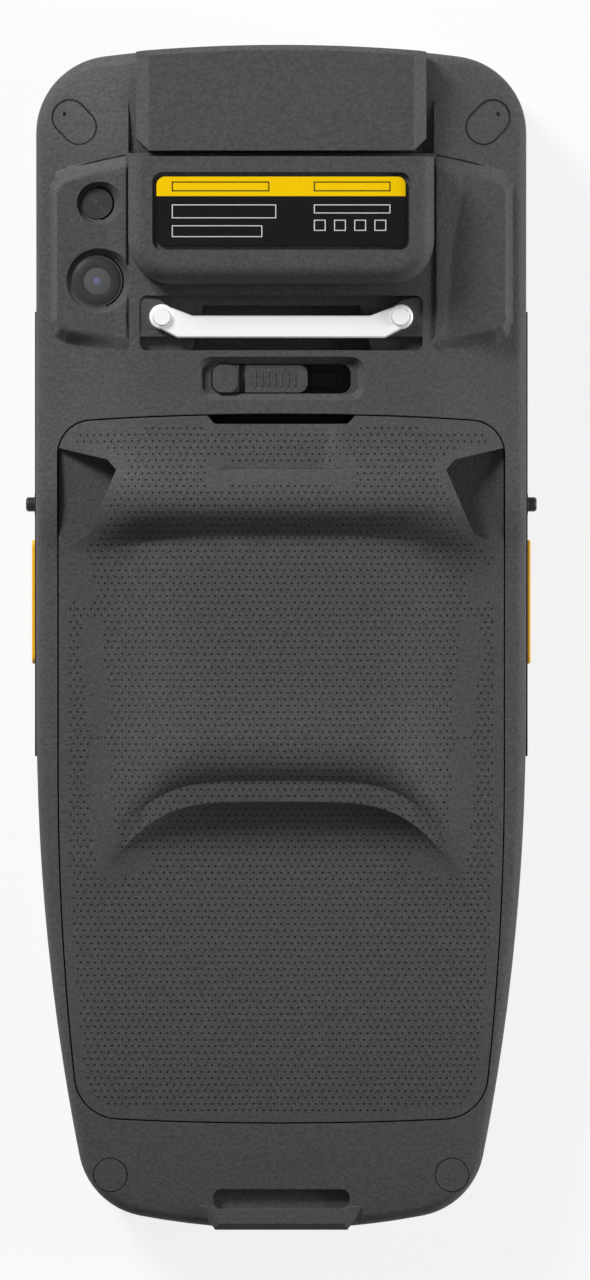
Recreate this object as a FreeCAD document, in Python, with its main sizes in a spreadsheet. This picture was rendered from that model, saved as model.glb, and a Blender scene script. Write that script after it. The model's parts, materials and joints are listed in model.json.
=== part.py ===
import FreeCAD, Part
import math
import os

import Sketcher
from FreeCAD import Placement, Vector

# Portable barcode data terminal, lying on its face with its back upwards.
# X runs across it, Y towards the scanner end and Z out of the back.
# The origin is under the middle of the terminal, on the plane of the front rim.

# A size given as text follows from the sizes above it.
SIZES = {
    # Outline of the housing, seen from the back
    "body_width": 71.0,
    "body_length": 171.3,
    "top_arc_radius": 240.0,
    "top_corner_radius": 11.0,
    "waist_start": 11.0,
    "waist_arc_radius": 333.0,
    "chin_arc_radius": 110.0,
    "chin_corner_radius": 11.0,
    # Heights above the front rim
    "seam_height": 9.6,
    "shoulder_height": 15.0,
    "crest_height": 18.6,
    "edge_drop": 2.4,
    "rim_round": 2.0,
    "deck_lift": 1.4,
    "deck_round": 1.1,
    "step_foot": "body_length / 2 - 70.75",
    "ledge_foot": "65.25 - body_length / 2",
    "wall": 1.8,
    "part_gap": 0.2,
    # Scanner end
    "cap_width": "body_width - 29.2",
    "cap_base": "body_length / 2 - 15.45",
    "cap_height": 22.8,
    "cap_bevel": 1.9,
    "cap_seat": 18.0,
    "cap_channel": 1.1,
    "hump_width": "body_width - 27",
    "hump_top": "body_length / 2 - 16.35",
    "hump_bottom": "body_length / 2 - 34.45",
    "hump_height": 24.2,
    "hump_corner": 6.2,
    "hump_round": 2.6,
    "window_width": "cap_width - 7.8",
    "window_height": 7.0,
    "window_centre_height": 13.4,
    "window_depth": 1.2,
    "label_width": "hump_width - 8.2",
    "label_length": 10.0,
    "label_middle": "body_length / 2 - 24.25",
    "label_thickness": 0.4,
    "label_recess": 0.8,
    "label_corner": 1.2,
    # Cameras and screws of the upper corners
    "deck_half_width": "body_width / 2 - 2.7",
    "deck_bottom": "body_length / 2 - 42.25",
    "deck_top": "body_length / 2 - 16.45",
    "camera_x": "body_width / 2 - 8.9",
    "camera_y": "body_length / 2 - 33.95",
    "camera_radius": 4.7,
    "camera_glass_radius": 3.7,
    "camera_depth": 1.3,
    "flash_y": "body_length / 2 - 22.75",
    "flash_radius": 3.1,
    "flash_lens_radius": 2.3,
    "upper_cap_x": "body_width / 2 - 5.6",
    "upper_cap_y": "body_length / 2 - 10.95",
    "upper_cap_radius": 2.5,
    "upper_cap_spread": 1.0,
    "lower_cap_x": "body_width / 2 - 10.75",
    "lower_cap_y": "body_length / 2 - 7.95",
    "lower_cap_radius": 2.4,
    "screw_cap_thickness": 1.2,
    # Strap bar
    "strap_eye_x": "body_width / 2 - 18.3",
    "strap_eye_y": "body_length / 2 - 39.2",
    "strap_eye_radius": 1.8,
    "strap_width": 3.2,
    "strap_bottom": "body_length / 2 - 42.25",
    "strap_thickness": 1.0,
    "strap_height": 18.4,
    "strap_screw_radius": 1.25,
    "strap_screw_head": 0.5,
    "recess_half_width": "strap_eye_x + 3.2",
    "recess_top": "body_length / 2 - 36.15",
    "recess_bottom": "body_length / 2 - 44.05",
    "recess_floor": 17.2,
    "pocket_floor": 15.2,
    "pocket_half_width": 11.4,
    "pad_width": 5.2,
    # Battery latch
    "latch_middle": "body_length / 2 - 48.1",
    "latch_recess_width": 24.0,
    "latch_recess_length": 6.2,
    "latch_recess_depth": 1.1,
    "latch_slot_width": 20.1,
    "latch_slot_length": 4.3,
    "latch_slider_width": 13.7,
    "latch_floor": 14.0,
    # Battery cover
    "cover_half_width": "body_width / 2 - 3.1",
    "cover_top": "body_length / 2 - 53.15",
    "cover_top_arc": 480.0,
    "cover_corner": 5.0,
    "cover_waist": 20.0,
    "cover_waist_arc": 404.0,
    "cover_bottom": "body_length / 2 - 15.45",
    "cover_bottom_arc": 500.0,
    "cover_bottom_corner": 6.5,
    "cover_wall": 1.6,
    "cover_lip": 2.4,
    "thumb_half_width": 11.8,
    "thumb_depth": 1.5,
    "notch_tip": 8.6,
    "notch_floor": 14.2,
    "bay_floor": 8.0,
    "bay_under": 7.0,
    # Battery
    "battery_width": "body_width - 17",
    "battery_length": "cover_top + cover_bottom - 22.7",
    "battery_middle": "cover_top - 7.2 - battery_length / 2",
    "battery_height": 3.0,
    "cell_width": 37.0,
    "cell_length": "step_foot - ledge_foot - 4.3",
    "cell_middle": "(step_foot + ledge_foot) / 2 - 0.25",
    "cell_height": 6.2,
    "contact_width": 16.0,
    "contact_length": 3.4,
    # Sides
    "stud_radius": 1.05,
    "stud_length": 1.65,
    "stud_shank_radius": 1.6,
    "stud_shoulder": 0.38,
    "stud_chamfer": 0.25,
    "stud_y": "body_length / 2 - 66.05",
    "stud_height": 6.2,
    "side_key_length": 18.0,
    "side_key_height": 4.6,
    "side_key_middle": "body_length / 2 - 80.25",
    "side_key_proud": 0.75,
    "rail_top": "body_length / 2 - 43.15",
    "rail_bottom": 12.0,
    "rail_height": 7.4,
    "rail_proud": 0.28,
    "rail_inlay": 0.7,
    # Front, turned to the table
    "front_floor": 2.2,
    "front_round": 1.2,
    "display_width": "body_width - 10",
    "display_length": "body_length - 73.3",
    "display_middle": 23.0,
    "glass_sink": 0.4,
    "glass_thickness": 0.9,
    "lcd_thickness": 2.2,
    "key_width": 13.0,
    "key_length": 5.8,
    "key_pitch_across": "body_width / 2 - 18.5",
    "key_pitch_along": 8.6,
    "key_first_row": "body_length / 2 - 50.15",
    "key_corner": 1.6,
    "key_proud": 0.3,
    "key_travel": 0.4,
    "key_height": 1.9,
    "mat_thickness": 0.8,
    "board_width": "body_width - 13",
    "board_length": "body_length - 43.3",
    "board_middle": 8.0,
    "board_thickness": 1.0,
    "board_height": 5.4,
    # Chin
    "slot_width": 19.8,
    "slot_length": 2.9,
    "lip_half_width": 12.0,
    "lip_height": 12.5,
    "slot_middle": "body_length / 2 - 4.45",
    "usb_width": 9.0,
    "usb_height": 3.3,
    "usb_centre_height": 5.2,
    "usb_cover_width": 15.0,
    "usb_cover_height": 6.0,
    "usb_cover_thickness": 1.5,
}

document = FreeCAD.newDocument("Terminal")
sheet = document.addObject("Spreadsheet::Sheet", "Sizes")
for row, (alias, value) in enumerate(SIZES.items(), start=1):
    sheet.set(f"A{row}", alias)
    sheet.set(f"B{row}", f"={value}" if isinstance(value, str) else str(value))
    sheet.setAlias(f"B{row}", alias)
document.recompute()

nodes = []


def size(alias):
    """A driving dimension, read back from the sheet."""
    return float(sheet.get(alias))


def keep(item, label):
    """Gives a sub-part its name and puts it among the pieces that are written."""
    item.Label = label
    nodes.append(item)
    return item


def helper(item, label):
    """Names an object that only builds another one."""
    item.Label = label
    return item


def place(item, x="0", y="0", z="0"):
    """Ties an object's position to the sheet."""
    for axis, rule in (("x", x), ("y", y), ("z", z)):
        item.setExpression(f"Placement.Base.{axis}", rule)
    return item


def feature(label, shape):
    """A sub-part whose shape comes from a function."""
    item = document.addObject("Part::Feature", label)
    item.Shape = shape
    item.Placement = Placement()
    return keep(item, label)


# Parametric building blocks


def origin_plane(body, role):
    """One of a body's own origin planes."""
    return next(plane for plane in body.Origin.OriginFeatures if plane.Role == role)


def rectangle_sketch(body, width, length):
    """A centred rectangle on a body's XY plane, with its two sizes tied to the sheet."""
    sketch = body.newObject("Sketcher::SketchObject", "Outline")
    sketch.AttachmentSupport = [(origin_plane(body, "XY_Plane"), "")]
    sketch.MapMode = "FlatFace"
    corners = [Vector(-1, -1), Vector(1, -1), Vector(1, 1), Vector(-1, 1)]
    for index, corner in enumerate(corners):
        sketch.addGeometry(Part.LineSegment(corner, corners[(index + 1) % 4]), False)
    constraint = Sketcher.Constraint
    for index in range(4):
        sketch.addConstraint(constraint("Coincident", index, 2, (index + 1) % 4, 1))
        sketch.addConstraint(constraint("Vertical" if index % 2 else "Horizontal", index))
    sketch.addConstraint(constraint("Symmetric", 0, 1, 1, 2, -1, 1))
    across = sketch.addConstraint(constraint("DistanceX", 0, 1, 0, 2, 2.0))
    along = sketch.addConstraint(constraint("DistanceY", 1, 1, 1, 2, 2.0))
    sketch.setExpression(f"Constraints[{across}]", width)
    sketch.setExpression(f"Constraints[{along}]", length)
    return sketch


def upright_edges(shape):
    """The names of a pad's straight edges that run along Z."""
    return [
        f"Edge{index}"
        for index, edge in enumerate(shape.Edges, start=1)
        if edge.BoundBox.ZLength > 1e-6 and edge.BoundBox.XLength + edge.BoundBox.YLength < 1e-6
    ]


def rim_edges(shape, height):
    """The names of a pad's edges that lie at one height."""
    return [
        f"Edge{index}"
        for index, edge in enumerate(shape.Edges, start=1)
        if abs(edge.BoundBox.ZMin - height) < 1e-6 and edge.BoundBox.ZLength < 1e-6
    ]


def plate(label, width, length, thickness, x="0", y="0", z="0", corner=None, soften=None):
    """A padded rectangle with rounded corners and, if asked, a softened far rim."""
    body = document.addObject("PartDesign::Body", label)
    sketch = rectangle_sketch(body, width, length)
    pad = body.newObject("PartDesign::Pad", "Pad")
    pad.Profile = sketch
    pad.setExpression("Length", thickness)
    document.recompute()
    last = pad
    if corner:
        rounding = body.newObject("PartDesign::Fillet", "Corners")
        rounding.Base = (pad, upright_edges(pad.Shape))
        rounding.setExpression("Radius", corner)
        document.recompute()
        last = rounding
    if soften:
        softening = body.newObject("PartDesign::Fillet", "Rim")
        softening.Base = (last, rim_edges(last.Shape, last.Shape.BoundBox.ZMax))
        softening.setExpression("Radius", soften)
        last = softening
    body.Tip = last
    return place(helper(body, label), x, y, z)


def disc(label, radius, height, x="0", y="0", z="0"):
    """A round solid standing on Z."""
    item = document.addObject("Part::Cylinder", label)
    item.setExpression("Radius", radius)
    item.setExpression("Height", height)
    return place(helper(item, label), x, y, z)


def join(label, items):
    """One sub-part made of several solids or of solids that merge."""
    item = document.addObject("Part::MultiFuse", label)
    item.Shapes = items
    return helper(item, label)


# Shapes that follow the housing's form


def arc_between(centre, start, end, radius, height):
    """The arc from start to end about a centre, on the side away from it."""
    middle = centre + ((start - centre) + (end - centre)).normalize() * radius
    points = [Vector(point.x, point.y, height) for point in (start, middle, end)]
    return Part.Arc(*points).toShape()


def barrel_outline(half_width, top, top_radius, corner, waist, waist_radius, bottom,
                   bottom_radius, bottom_corner, inset=0.0, height=0.0):
    """A closed outline with bowed ends, straight sides and a waist that draws in below."""
    half_width -= inset
    top -= inset
    bottom -= inset
    top_radius -= inset
    waist_radius -= inset
    bottom_radius -= inset
    corner = max(corner - inset, 0.4)
    bottom_corner = max(bottom_corner - inset, 0.4)
    top_centre = Vector(0, top - top_radius, 0)
    reach = math.sqrt((top_radius - corner) ** 2 - (half_width - corner) ** 2)
    corner_centre = Vector(half_width - corner, top_centre.y + reach, 0)
    shoulder = top_centre + (corner_centre - top_centre).normalize() * top_radius
    side_high = Vector(half_width, corner_centre.y, 0)
    side_low = Vector(half_width, -waist, 0)
    waist_centre = Vector(half_width - waist_radius, -waist, 0)
    chin_centre = Vector(0, bottom_radius - bottom, 0)
    waist_reach = waist_radius - bottom_corner
    chin_reach = bottom_radius - bottom_corner
    span = chin_centre - waist_centre
    along = (waist_reach ** 2 - chin_reach ** 2 + span.Length ** 2) / (2 * span.Length)
    across = math.sqrt(waist_reach ** 2 - along ** 2)
    forward = Vector(span).normalize()
    aside = Vector(forward.y, -forward.x, 0)
    chin_corner_centre = waist_centre + forward * along + aside * across
    if chin_corner_centre.y > chin_centre.y:
        chin_corner_centre = waist_centre + forward * along - aside * across
    hip = waist_centre + (chin_corner_centre - waist_centre).normalize() * waist_radius
    chin = chin_centre + (chin_corner_centre - chin_centre).normalize() * bottom_radius

    edges = []
    for side in (1, -1):
        def flip(point):
            return Vector(side * point.x, point.y, 0)

        edges.append(arc_between(flip(top_centre), Vector(0, top, 0), flip(shoulder), top_radius, height))
        edges.append(arc_between(flip(corner_centre), flip(shoulder), flip(side_high), corner, height))
        low, high = flip(side_low), flip(side_high)
        edges.append(Part.LineSegment(Vector(high.x, high.y, height), Vector(low.x, low.y, height)).toShape())
        edges.append(arc_between(flip(waist_centre), low, flip(hip), waist_radius, height))
        edges.append(arc_between(flip(chin_corner_centre), flip(hip), flip(chin), bottom_corner, height))
        edges.append(arc_between(flip(chin_centre), flip(chin), Vector(0, -bottom, 0), bottom_radius, height))
    return Part.Wire(Part.__sortEdges__(edges))


def prism(outline, height):
    """A straight solid over an outline."""
    return Part.Face(outline).extrude(Vector(0, 0, height))


def body_prism(inset, low, high):
    """The space inside the housing's outline between two heights."""
    half_length = size("body_length") / 2
    outline = barrel_outline(
        size("body_width") / 2, half_length, size("top_arc_radius"), size("top_corner_radius"),
        size("waist_start"), size("waist_arc_radius"), half_length, size("chin_arc_radius"),
        size("chin_corner_radius"), inset, low,
    )
    return prism(outline, high - low)


def cover_prism(inset, low, high):
    """The space inside the battery cover's outline between two heights."""
    outline = barrel_outline(
        size("cover_half_width"), size("cover_top"), size("cover_top_arc"), size("cover_corner"),
        size("cover_waist"), size("cover_waist_arc"), size("cover_bottom"),
        size("cover_bottom_arc"), size("cover_bottom_corner"), inset, low,
    )
    return prism(outline, high - low)


def polygon_prism(points, low, high):
    """A straight solid over a polygon given as X, Y pairs."""
    corners = [Vector(x, y, low) for x, y in points]
    return Part.Face(Part.makePolygon(corners + corners[:1])).extrude(Vector(0, 0, high - low))


def box(x_low, x_high, y_low, y_high, z_low, z_high):
    """A block between its limits."""
    return Part.makeBox(x_high - x_low, y_high - y_low, z_high - z_low, Vector(x_low, y_low, z_low))


def rounded_block(width, length, low, high, x, y, corner):
    """A block with rounded upright edges, about a middle."""
    block = box(x - width / 2, x + width / 2, y - length / 2, y + length / 2, low, high)
    upright = [edge for edge in block.Edges if edge.BoundBox.ZLength > 1e-6]
    return block.makeFillet(min(corner, width / 2.01, length / 2.01), upright)


# The sculpted back

# Shares of the half width at which each contour has its control points
COLUMNS = [0, 0.2, 0.37, 0.51, 0.62, 0.735, 0.845, 0.945, 1.07]
OVERHANG = 40.0
ARCH_FLAT = 10.0
ARCH_ROUND = 15.5


def arch_fall(across):
    """How far a contour has dropped towards the chin at a distance from the middle."""
    over = min(max(across - ARCH_FLAT, 0), 0.95 * ARCH_ROUND)
    return ARCH_ROUND - math.sqrt(ARCH_ROUND ** 2 - over ** 2)


def blend(across, inner, outer):
    """One inside the crest, nothing on the shoulder, and a smooth fall between."""
    if across <= inner:
        return 1.0
    if across >= outer:
        return 0.0
    return 0.5 * (1 + math.cos(math.pi * (across - inner) / (outer - inner)))


def contour(y, arch, shoulder, crest, inner, outer, drop):
    """One line of control points across the back: heights above the general shoulder and crest."""
    half_width = size("body_width") / 2
    low = size("shoulder_height") + shoulder - drop
    high = size("crest_height") + crest - drop
    points = []
    for share in COLUMNS:
        across = share * half_width
        height = low - size("edge_drop") * (across / half_width) ** 4
        height += (high - low) * blend(across, inner, outer)
        points.append(Vector(across, y - arch * arch_fall(across), height))
    mirrored = [Vector(-point.x, point.y, point.z) for point in reversed(points[1:])]
    return mirrored + points


def skin(contours, degree):
    """A smooth surface pulled over neighbouring contours."""
    def knots(count, order):
        repeats = [order + 1] + [1] * (count - order - 1) + [order + 1]
        return repeats, [float(index) for index in range(len(repeats))]

    across_repeats, across_knots = knots(len(contours[0]), 3)
    along_repeats, along_knots = knots(len(contours), degree)
    surface = Part.BSplineSurface()
    surface.buildFromPolesMultsKnots(
        contours, along_repeats, across_repeats, along_knots, across_knots, False, False, degree, 3
    )
    return surface.toShape()


def back_block(drop=0.0):
    """A block whose upper face is the back, lowered by drop.

    The stretches meet at creases: the foot of the upper step, and the rim and foot of the
    ledge over the palm hollow. The head keeps its place from the upper end, and the chin
    from the lower one.
    """
    end = size("body_length") / 2
    foot, ledge = size("step_foot"), size("ledge_foot")
    span = foot - ledge
    step_foot = contour(foot, 0.25, 0.6, 0.0, 12, 27, drop)
    ledge_foot = contour(ledge, 1.0, -0.4, -0.2, 12, 27, drop)
    ledge_rim = contour(ledge - 3.1, 1.0, -0.5, -0.4, 12, 27, drop)
    head = [
        contour(end + 2.4, 0, -0.2, -1.0, 18, 34, drop),
        contour(end - 5.6, 0, 0.9, 0.0, 18, 34, drop),
        contour(end - 13.6, 0, 1.8, 1.1, 18, 34, drop),
        contour(end - 20.6, 0, 1.7, 1.1, 18, 34, drop),
        contour(end - 28.6, 0, 1.1, 0.6, 18, 34, drop),
        contour(end - 43.6, 0, 1.0, 0.5, 18, 34, drop),
        contour(end - 52.6, 0, 1.0, 0.5, 18, 34, drop),
        contour(foot + 11.1, 0, 1.5, 1.4, 18, 34, drop),
        contour(foot + 6.1, 0, 1.8, 3.2, 18, 34, drop),
        contour(foot + 2.7, 0.1, 1.5, 3.0, 17, 32, drop),
        contour(foot + 0.8, 0.2, 0.7, 0.4, 13, 28, drop),
        step_foot,
    ]
    pillow = [
        step_foot,
        contour(foot - 3.9, 0.2, 0.2, 0.2, 12, 27, drop),
        contour(foot - 0.365 * span, 0.2, 0.0, 0.4, 12, 27, drop),
        contour(ledge + 0.351 * span, 0.4, -0.2, 0.6, 12, 27, drop),
        contour(ledge + 5.9, 0.8, -0.3, 1.7, 12, 27, drop),
        contour(ledge + 1.9, 1.0, -0.4, 1.5, 12, 27, drop),
        contour(ledge + 0.2, 1.0, -0.4, 0.0, 12, 27, drop),
        ledge_foot,
    ]
    hollow = [
        ledge_rim,
        contour(ledge - 3.8, 1.0, -0.5, -2.6, 12, 27, drop),
        contour(ledge - 7.1, 1.0, -0.7, -4.3, 12, 27, drop),
        contour(ledge - 13.6, 0.9, -0.8, -4.4, 12, 27, drop),
        contour(ledge - 23.6, 0.6, -0.8, -4.4, 12, 27, drop),
        contour(27.6 - end, 0.0, -0.9, -4.5, 12, 27, drop),
        contour(17.6 - end, 0.0, -1.4, -5.0, 12, 27, drop),
        contour(7.6 - end, 0.0, -2.4, -6.0, 12, 27, drop),
        contour(-2.4 - end, 0.0, -4.0, -7.6, 12, 27, drop),
    ]
    stretches = [skin(head, 3), skin(pillow, 3), skin([ledge_foot, ledge_rim], 1), skin(hollow, 3)]
    blocks = [stretch.extrude(Vector(0, 0, -OVERHANG)) for stretch in stretches]
    return blocks[0].multiFuse(blocks[1:])


def deck_block(drop=0.0):
    """A block whose upper face is the level of the deck round the scanner hump."""
    end = size("body_length") / 2
    lift = size("deck_lift")
    lines = [contour(end - back, 0, 1.0 + lift, 0.5 + lift, 18, 34, drop) for back in (-2.4, 20, 42, 60)]
    return skin(lines, 3).extrude(Vector(0, 0, -OVERHANG))


def on_outline(edge, outline):
    """Whether an edge runs along the housing's outline, seen from the back."""
    middle = edge.valueAt((edge.FirstParameter + edge.LastParameter) / 2)
    probe = Part.Vertex(middle.x, middle.y, outline.BoundBox.ZMin)
    upright = edge.BoundBox.XLength + edge.BoundBox.YLength < 1e-4
    return not upright and outline.distToShape(probe)[0] < 0.05


def back_form():
    """The whole back above the seam, with its rim rounded."""
    seam = size("seam_height")
    form = body_prism(0, seam, OVERHANG).common(back_block())
    outline = body_prism(0, 0, 1).slice(Vector(0, 0, 1), 0.5)[0]
    rim = [edge for edge in form.Edges if edge.BoundBox.ZMin > seam + 0.4 and on_outline(edge, outline)]
    return form.makeFillet(size("rim_round"), rim)


def mirrored(shape):
    """A shape and its reflection across the middle plane."""
    return shape.fuse(shape.mirror(Vector(), Vector(1, 0, 0)))


def deck_form():
    """The raised deck with its slanted upper borders and its softened edge."""
    side = size("deck_half_width")
    low, high = size("deck_bottom"), size("deck_top")
    right = [
        (18.5, low - 0.2), (side - 1.6, low + 1.4), (side, low + 3.0), (side, high - 3.0),
        (side - 2.2, high - 1.2), (size("cap_width") / 2, high + 0.4),
    ]
    left = [(-x, y) for x, y in reversed(right)]
    region = polygon_prism(right + left, size("seam_height"), OVERHANG)
    bends = [edge for edge in region.Edges if edge.BoundBox.ZLength > 1 and abs(edge.BoundBox.XMin) > side - 3]
    region = region.makeFillet(size("deck_round"), bends)
    deck = region.common(deck_block())
    rim = [edge for edge in deck.Edges if edge.BoundBox.ZMin > size("seam_height") + 1
           and edge.BoundBox.XLength + edge.BoundBox.YLength > 1e-4]
    return deck.makeFillet(size("deck_round"), rim)


def upper_cap_prism(extra, low, high):
    """The slanted oval seat of an upper corner's screw cap."""
    radius = size("upper_cap_radius") + extra
    spread = size("upper_cap_spread")
    middle = Vector(size("upper_cap_x"), size("upper_cap_y"), low)
    lean = Vector(-0.7 * spread, -0.75 * spread, 0)
    aside = Vector(-lean.y, lean.x, 0).normalize() * radius
    corners = [middle + lean + aside, middle + lean - aside, middle - lean - aside, middle - lean + aside]
    between = Part.Face(Part.makePolygon(corners + corners[:1])).extrude(Vector(0, 0, high - low))
    lobes = [Part.makeCylinder(radius, high - low, middle + lean * side) for side in (-1, 1)]
    return between.multiFuse(lobes).removeSplitter()


def lower_cap_prism(extra, low, high):
    """The round seat of a lower corner's screw cap."""
    middle = Vector(size("lower_cap_x"), -size("lower_cap_y"), low)
    return Part.makeCylinder(size("lower_cap_radius") + extra, high - low, middle)


def hump_form():
    """The raised scanner hump, rounded all round but crisp at the groove."""
    half = size("hump_width") / 2
    low, high = size("hump_bottom"), size("hump_top")
    block = box(-half, half, low, high, size("cap_seat"), size("hump_height"))
    corners = [
        edge for edge in block.Edges
        if edge.BoundBox.ZLength > 1 and edge.BoundBox.YMax < low + 0.01
    ]
    block = block.makeFillet(size("hump_corner"), corners)
    rim = [
        edge for edge in block.Edges
        if edge.BoundBox.ZMin > size("hump_height") - 0.01 and edge.BoundBox.YMin < high - 0.01
    ]
    return block.makeFillet(size("hump_round"), rim)


def cap_form():
    """The scanner cap: bevelled sides and two cut corners at the groove."""
    half = size("cap_width") / 2
    low, seat, top = size("cap_base"), size("cap_seat"), size("cap_height")
    bevel = size("cap_bevel")
    profile = [
        Vector(-half, low, seat), Vector(-half, low, top - bevel), Vector(-half + bevel, low, top),
        Vector(half - bevel, low, top), Vector(half, low, top - bevel), Vector(half, low, seat),
    ]
    bar = Part.Face(Part.makePolygon(profile + profile[:1])).extrude(Vector(0, 20, 0))
    corner = polygon_prism([(half - bevel, low), (half + 1, low), (half + 1, low + bevel + 1)], seat, OVERHANG)
    cap = bar.cut(mirrored(corner)).common(body_prism(size("part_gap"), seat, OVERHANG))
    brow = [edge for edge in cap.Edges if edge.BoundBox.ZMin > top - 0.01 and edge.BoundBox.YMin > low + bevel + 3
            and edge.BoundBox.XLength > 2]
    return cap.makeChamfer(size("part_gap") * 4, brow)


def hollow_space():
    """The room for the scanner and cameras inside the back."""
    wall = size("wall")
    low = size("seam_height") - 1
    room = body_prism(wall, low, OVERHANG).common(back_block(wall))
    room = room.common(box(-OVERHANG, OVERHANG, size("latch_middle") + 6, size("body_length"), low,
                           size("pocket_floor") - wall))
    return room.cut(mirrored(upper_cap_prism(1.2, low, OVERHANG)))


def strap_recess():
    """The room round the strap bar, with a seat under each eye and a deeper pocket for the strap."""
    half, pocket = size("recess_half_width"), size("pocket_half_width")
    top, bottom = size("recess_top"), size("recess_bottom")
    middle, length = (top + bottom) / 2, top - bottom
    floor, deep = size("recess_floor"), size("pocket_floor")
    room = rounded_block(2 * half, length, floor, OVERHANG, 0, middle, 1.0)
    inner = half - size("pad_width")
    seat = polygon_prism([(inner, top - 2.4), (inner + 2.2, top - 0.6), (half, top), (half, bottom + 2),
                          (inner, bottom + 2)], 0, size("strap_height"))
    room = room.cut(mirrored(seat))
    well = polygon_prism([(-pocket - 1.6, bottom), (pocket + 1.6, bottom), (pocket, top - 1.4), (-pocket, top - 1.4)],
                         deep, OVERHANG)
    return room.fuse(well)


def window_tunnel():
    """The seat of the scan window in the end face and the tunnel behind it."""
    gap, seam = size("part_gap"), size("seam_height")
    half, centre = size("window_width") / 2, size("window_centre_height")
    half_height = size("window_height") / 2
    end = size("body_length") / 2
    low, high = max(centre - half_height, seam), centre + half_height
    seat = box(-half - gap, half + gap, end - 2.4, end + 1, low, high)
    return seat.fuse(box(1.5 - half, half - 1.5, end - 8, end + 1, low, high - 1.5))


def lens_seats():
    """The conical seats and the bores of the camera and the flash."""
    gap, seam, depth = size("part_gap"), size("seam_height"), size("camera_depth")
    seats = []
    for y, face, rim, lens in (
        (size("camera_y"), camera_face_height(), size("camera_radius"), size("camera_glass_radius")),
        (size("flash_y"), flash_face_height(), size("flash_radius"), size("flash_lens_radius")),
    ):
        middle = Vector(-size("camera_x"), y, 0)
        bore = Part.makeCylinder(lens + gap, OVERHANG, middle + Vector(0, 0, seam))
        cone = Part.makeCone(rim - 0.6, rim + 0.9, 2.4 * depth, middle + Vector(0, 0, face - depth))
        seats += [bore, cone]
    return seats[0].multiFuse(seats[1:])


def latch_room():
    """The bevelled recess of the latch, its slot and the room for the bolt."""
    middle, floor = size("latch_middle"), latch_face_height() - size("latch_recess_depth")
    recess = rounded_block(size("latch_recess_width"), size("latch_recess_length"), floor, OVERHANG, 0, middle, 2.0)
    floor_edges = [edge for edge in recess.Edges if edge.BoundBox.ZMax < floor + 0.01]
    slot = rounded_block(size("latch_slot_width"), size("latch_slot_length"), size("latch_floor"), OVERHANG, 0,
                         middle, 1.5)
    return recess.makeChamfer(0.9, floor_edges).multiFuse([slot, bolt_room()])


def chin_lip():
    """The flat lip that stands up between the strap slot and the lower end."""
    half, end = size("lip_half_width"), size("body_length") / 2
    low, high = size("seam_height"), size("lip_height")
    lip = polygon_prism([(-half, 3.4 - end), (2.4 - half, -end), (half - 2.4, -end), (half, 3.4 - end)], low, high)
    rim = [edge for edge in lip.Edges if edge.BoundBox.ZMin > high - 0.01 and edge.BoundBox.YMin < 3 - end]
    return lip.makeChamfer(0.9, rim)


def build_rear_housing():
    """The back shell: deck, hump, strap recess, latch slot and the open battery bay."""
    seam, gap, wall = size("seam_height"), size("part_gap"), size("wall")
    end = size("body_length") / 2
    shell = BACK.form.multiFuse([BACK.deck, hump_form(), chin_lip()])
    channel = size("cap_width") / 2 + size("cap_channel")
    shell = shell.cut(box(-channel, channel, size("cap_base") - gap, end + 1, size("cap_seat"), OVERHANG))
    shell = shell.cut(hollow_space())
    shell = shell.cut(strap_recess().cut(hump_form()))
    shell = shell.cut(strap_screws(0.05))
    label = rounded_block(size("label_width") + 2 * gap + 0.8, size("label_length") + 2 * gap + 0.8,
                          size("hump_height") - size("label_recess"), OVERHANG, 0,
                          size("label_middle"), size("label_corner") + gap)
    shell = shell.cut(label)
    shell = shell.cut(window_tunnel())
    shell = shell.cut(lens_seats())
    for seat in (upper_cap_prism(gap / 2, upper_cap_floor(), OVERHANG),
                 lower_cap_prism(gap / 2, lower_cap_floor(), OVERHANG)):
        shell = shell.cut(mirrored(seat))
    shell = shell.cut(screw_room(gap / 2))
    shell = shell.cut(latch_room())
    # battery bay and the cover's seat round it
    tub = cover_prism(-1.0, size("bay_under"), seam + 0.1)
    tub = tub.common(body_prism(wall + gap / 2, 0, seam + 1))
    shell = shell.fuse(tub)
    shell = shell.cut(cover_prism(size("cover_lip"), size("bay_floor"), OVERHANG))
    shell = shell.cut(cover_prism(0, seam, OVERHANG))
    # strap slot in the chin
    shell = shell.cut(rounded_block(size("slot_width"), size("slot_length"), seam + 1.2, OVERHANG, 0,
                                    -size("slot_middle"), 1.2))
    return shell.removeSplitter()


def camera_face_height():
    """The height of the deck over the camera."""
    return BACK.face_over(-size("camera_x"), size("camera_y"))


def flash_face_height():
    """The height of the deck over the flash."""
    return BACK.face_over(-size("camera_x"), size("flash_y"))


def latch_face_height():
    """The height of the back over the latch."""
    return BACK.face_over(0, size("latch_middle"))


def upper_cap_floor():
    """The floor of an upper screw cap's seat."""
    return BACK.face_over(size("upper_cap_x"), size("upper_cap_y")) - size("screw_cap_thickness")


def lower_cap_floor():
    """The floor of a lower screw cap's seat."""
    return BACK.face_over(size("lower_cap_x"), -size("lower_cap_y")) - size("screw_cap_thickness")


def bolt_room():
    """The room under the back for the latch bolt and its travel."""
    middle, floor = size("latch_middle"), size("latch_floor")
    half = size("latch_slot_width") / 2
    return box(-half, half, size("cover_top") - 1, middle + 2.6, floor - 2.2, floor)


class Back:
    """The sculpted back, made once and asked for heights."""

    def __init__(self):
        """Builds the surface block, the rounded form and the deck."""
        self.block = back_block()
        self.form = back_form()
        self.deck = deck_form()

    def face_over(self, x, y):
        """The height of the face over a point, on the deck where the deck is."""
        line = Part.makeLine(Vector(x, y, 0), Vector(x, y, OVERHANG))
        heights = [shape.common(line).BoundBox.ZMax for shape in (self.block, self.deck) if shape.common(line).Edges]
        return max(heights)


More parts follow.
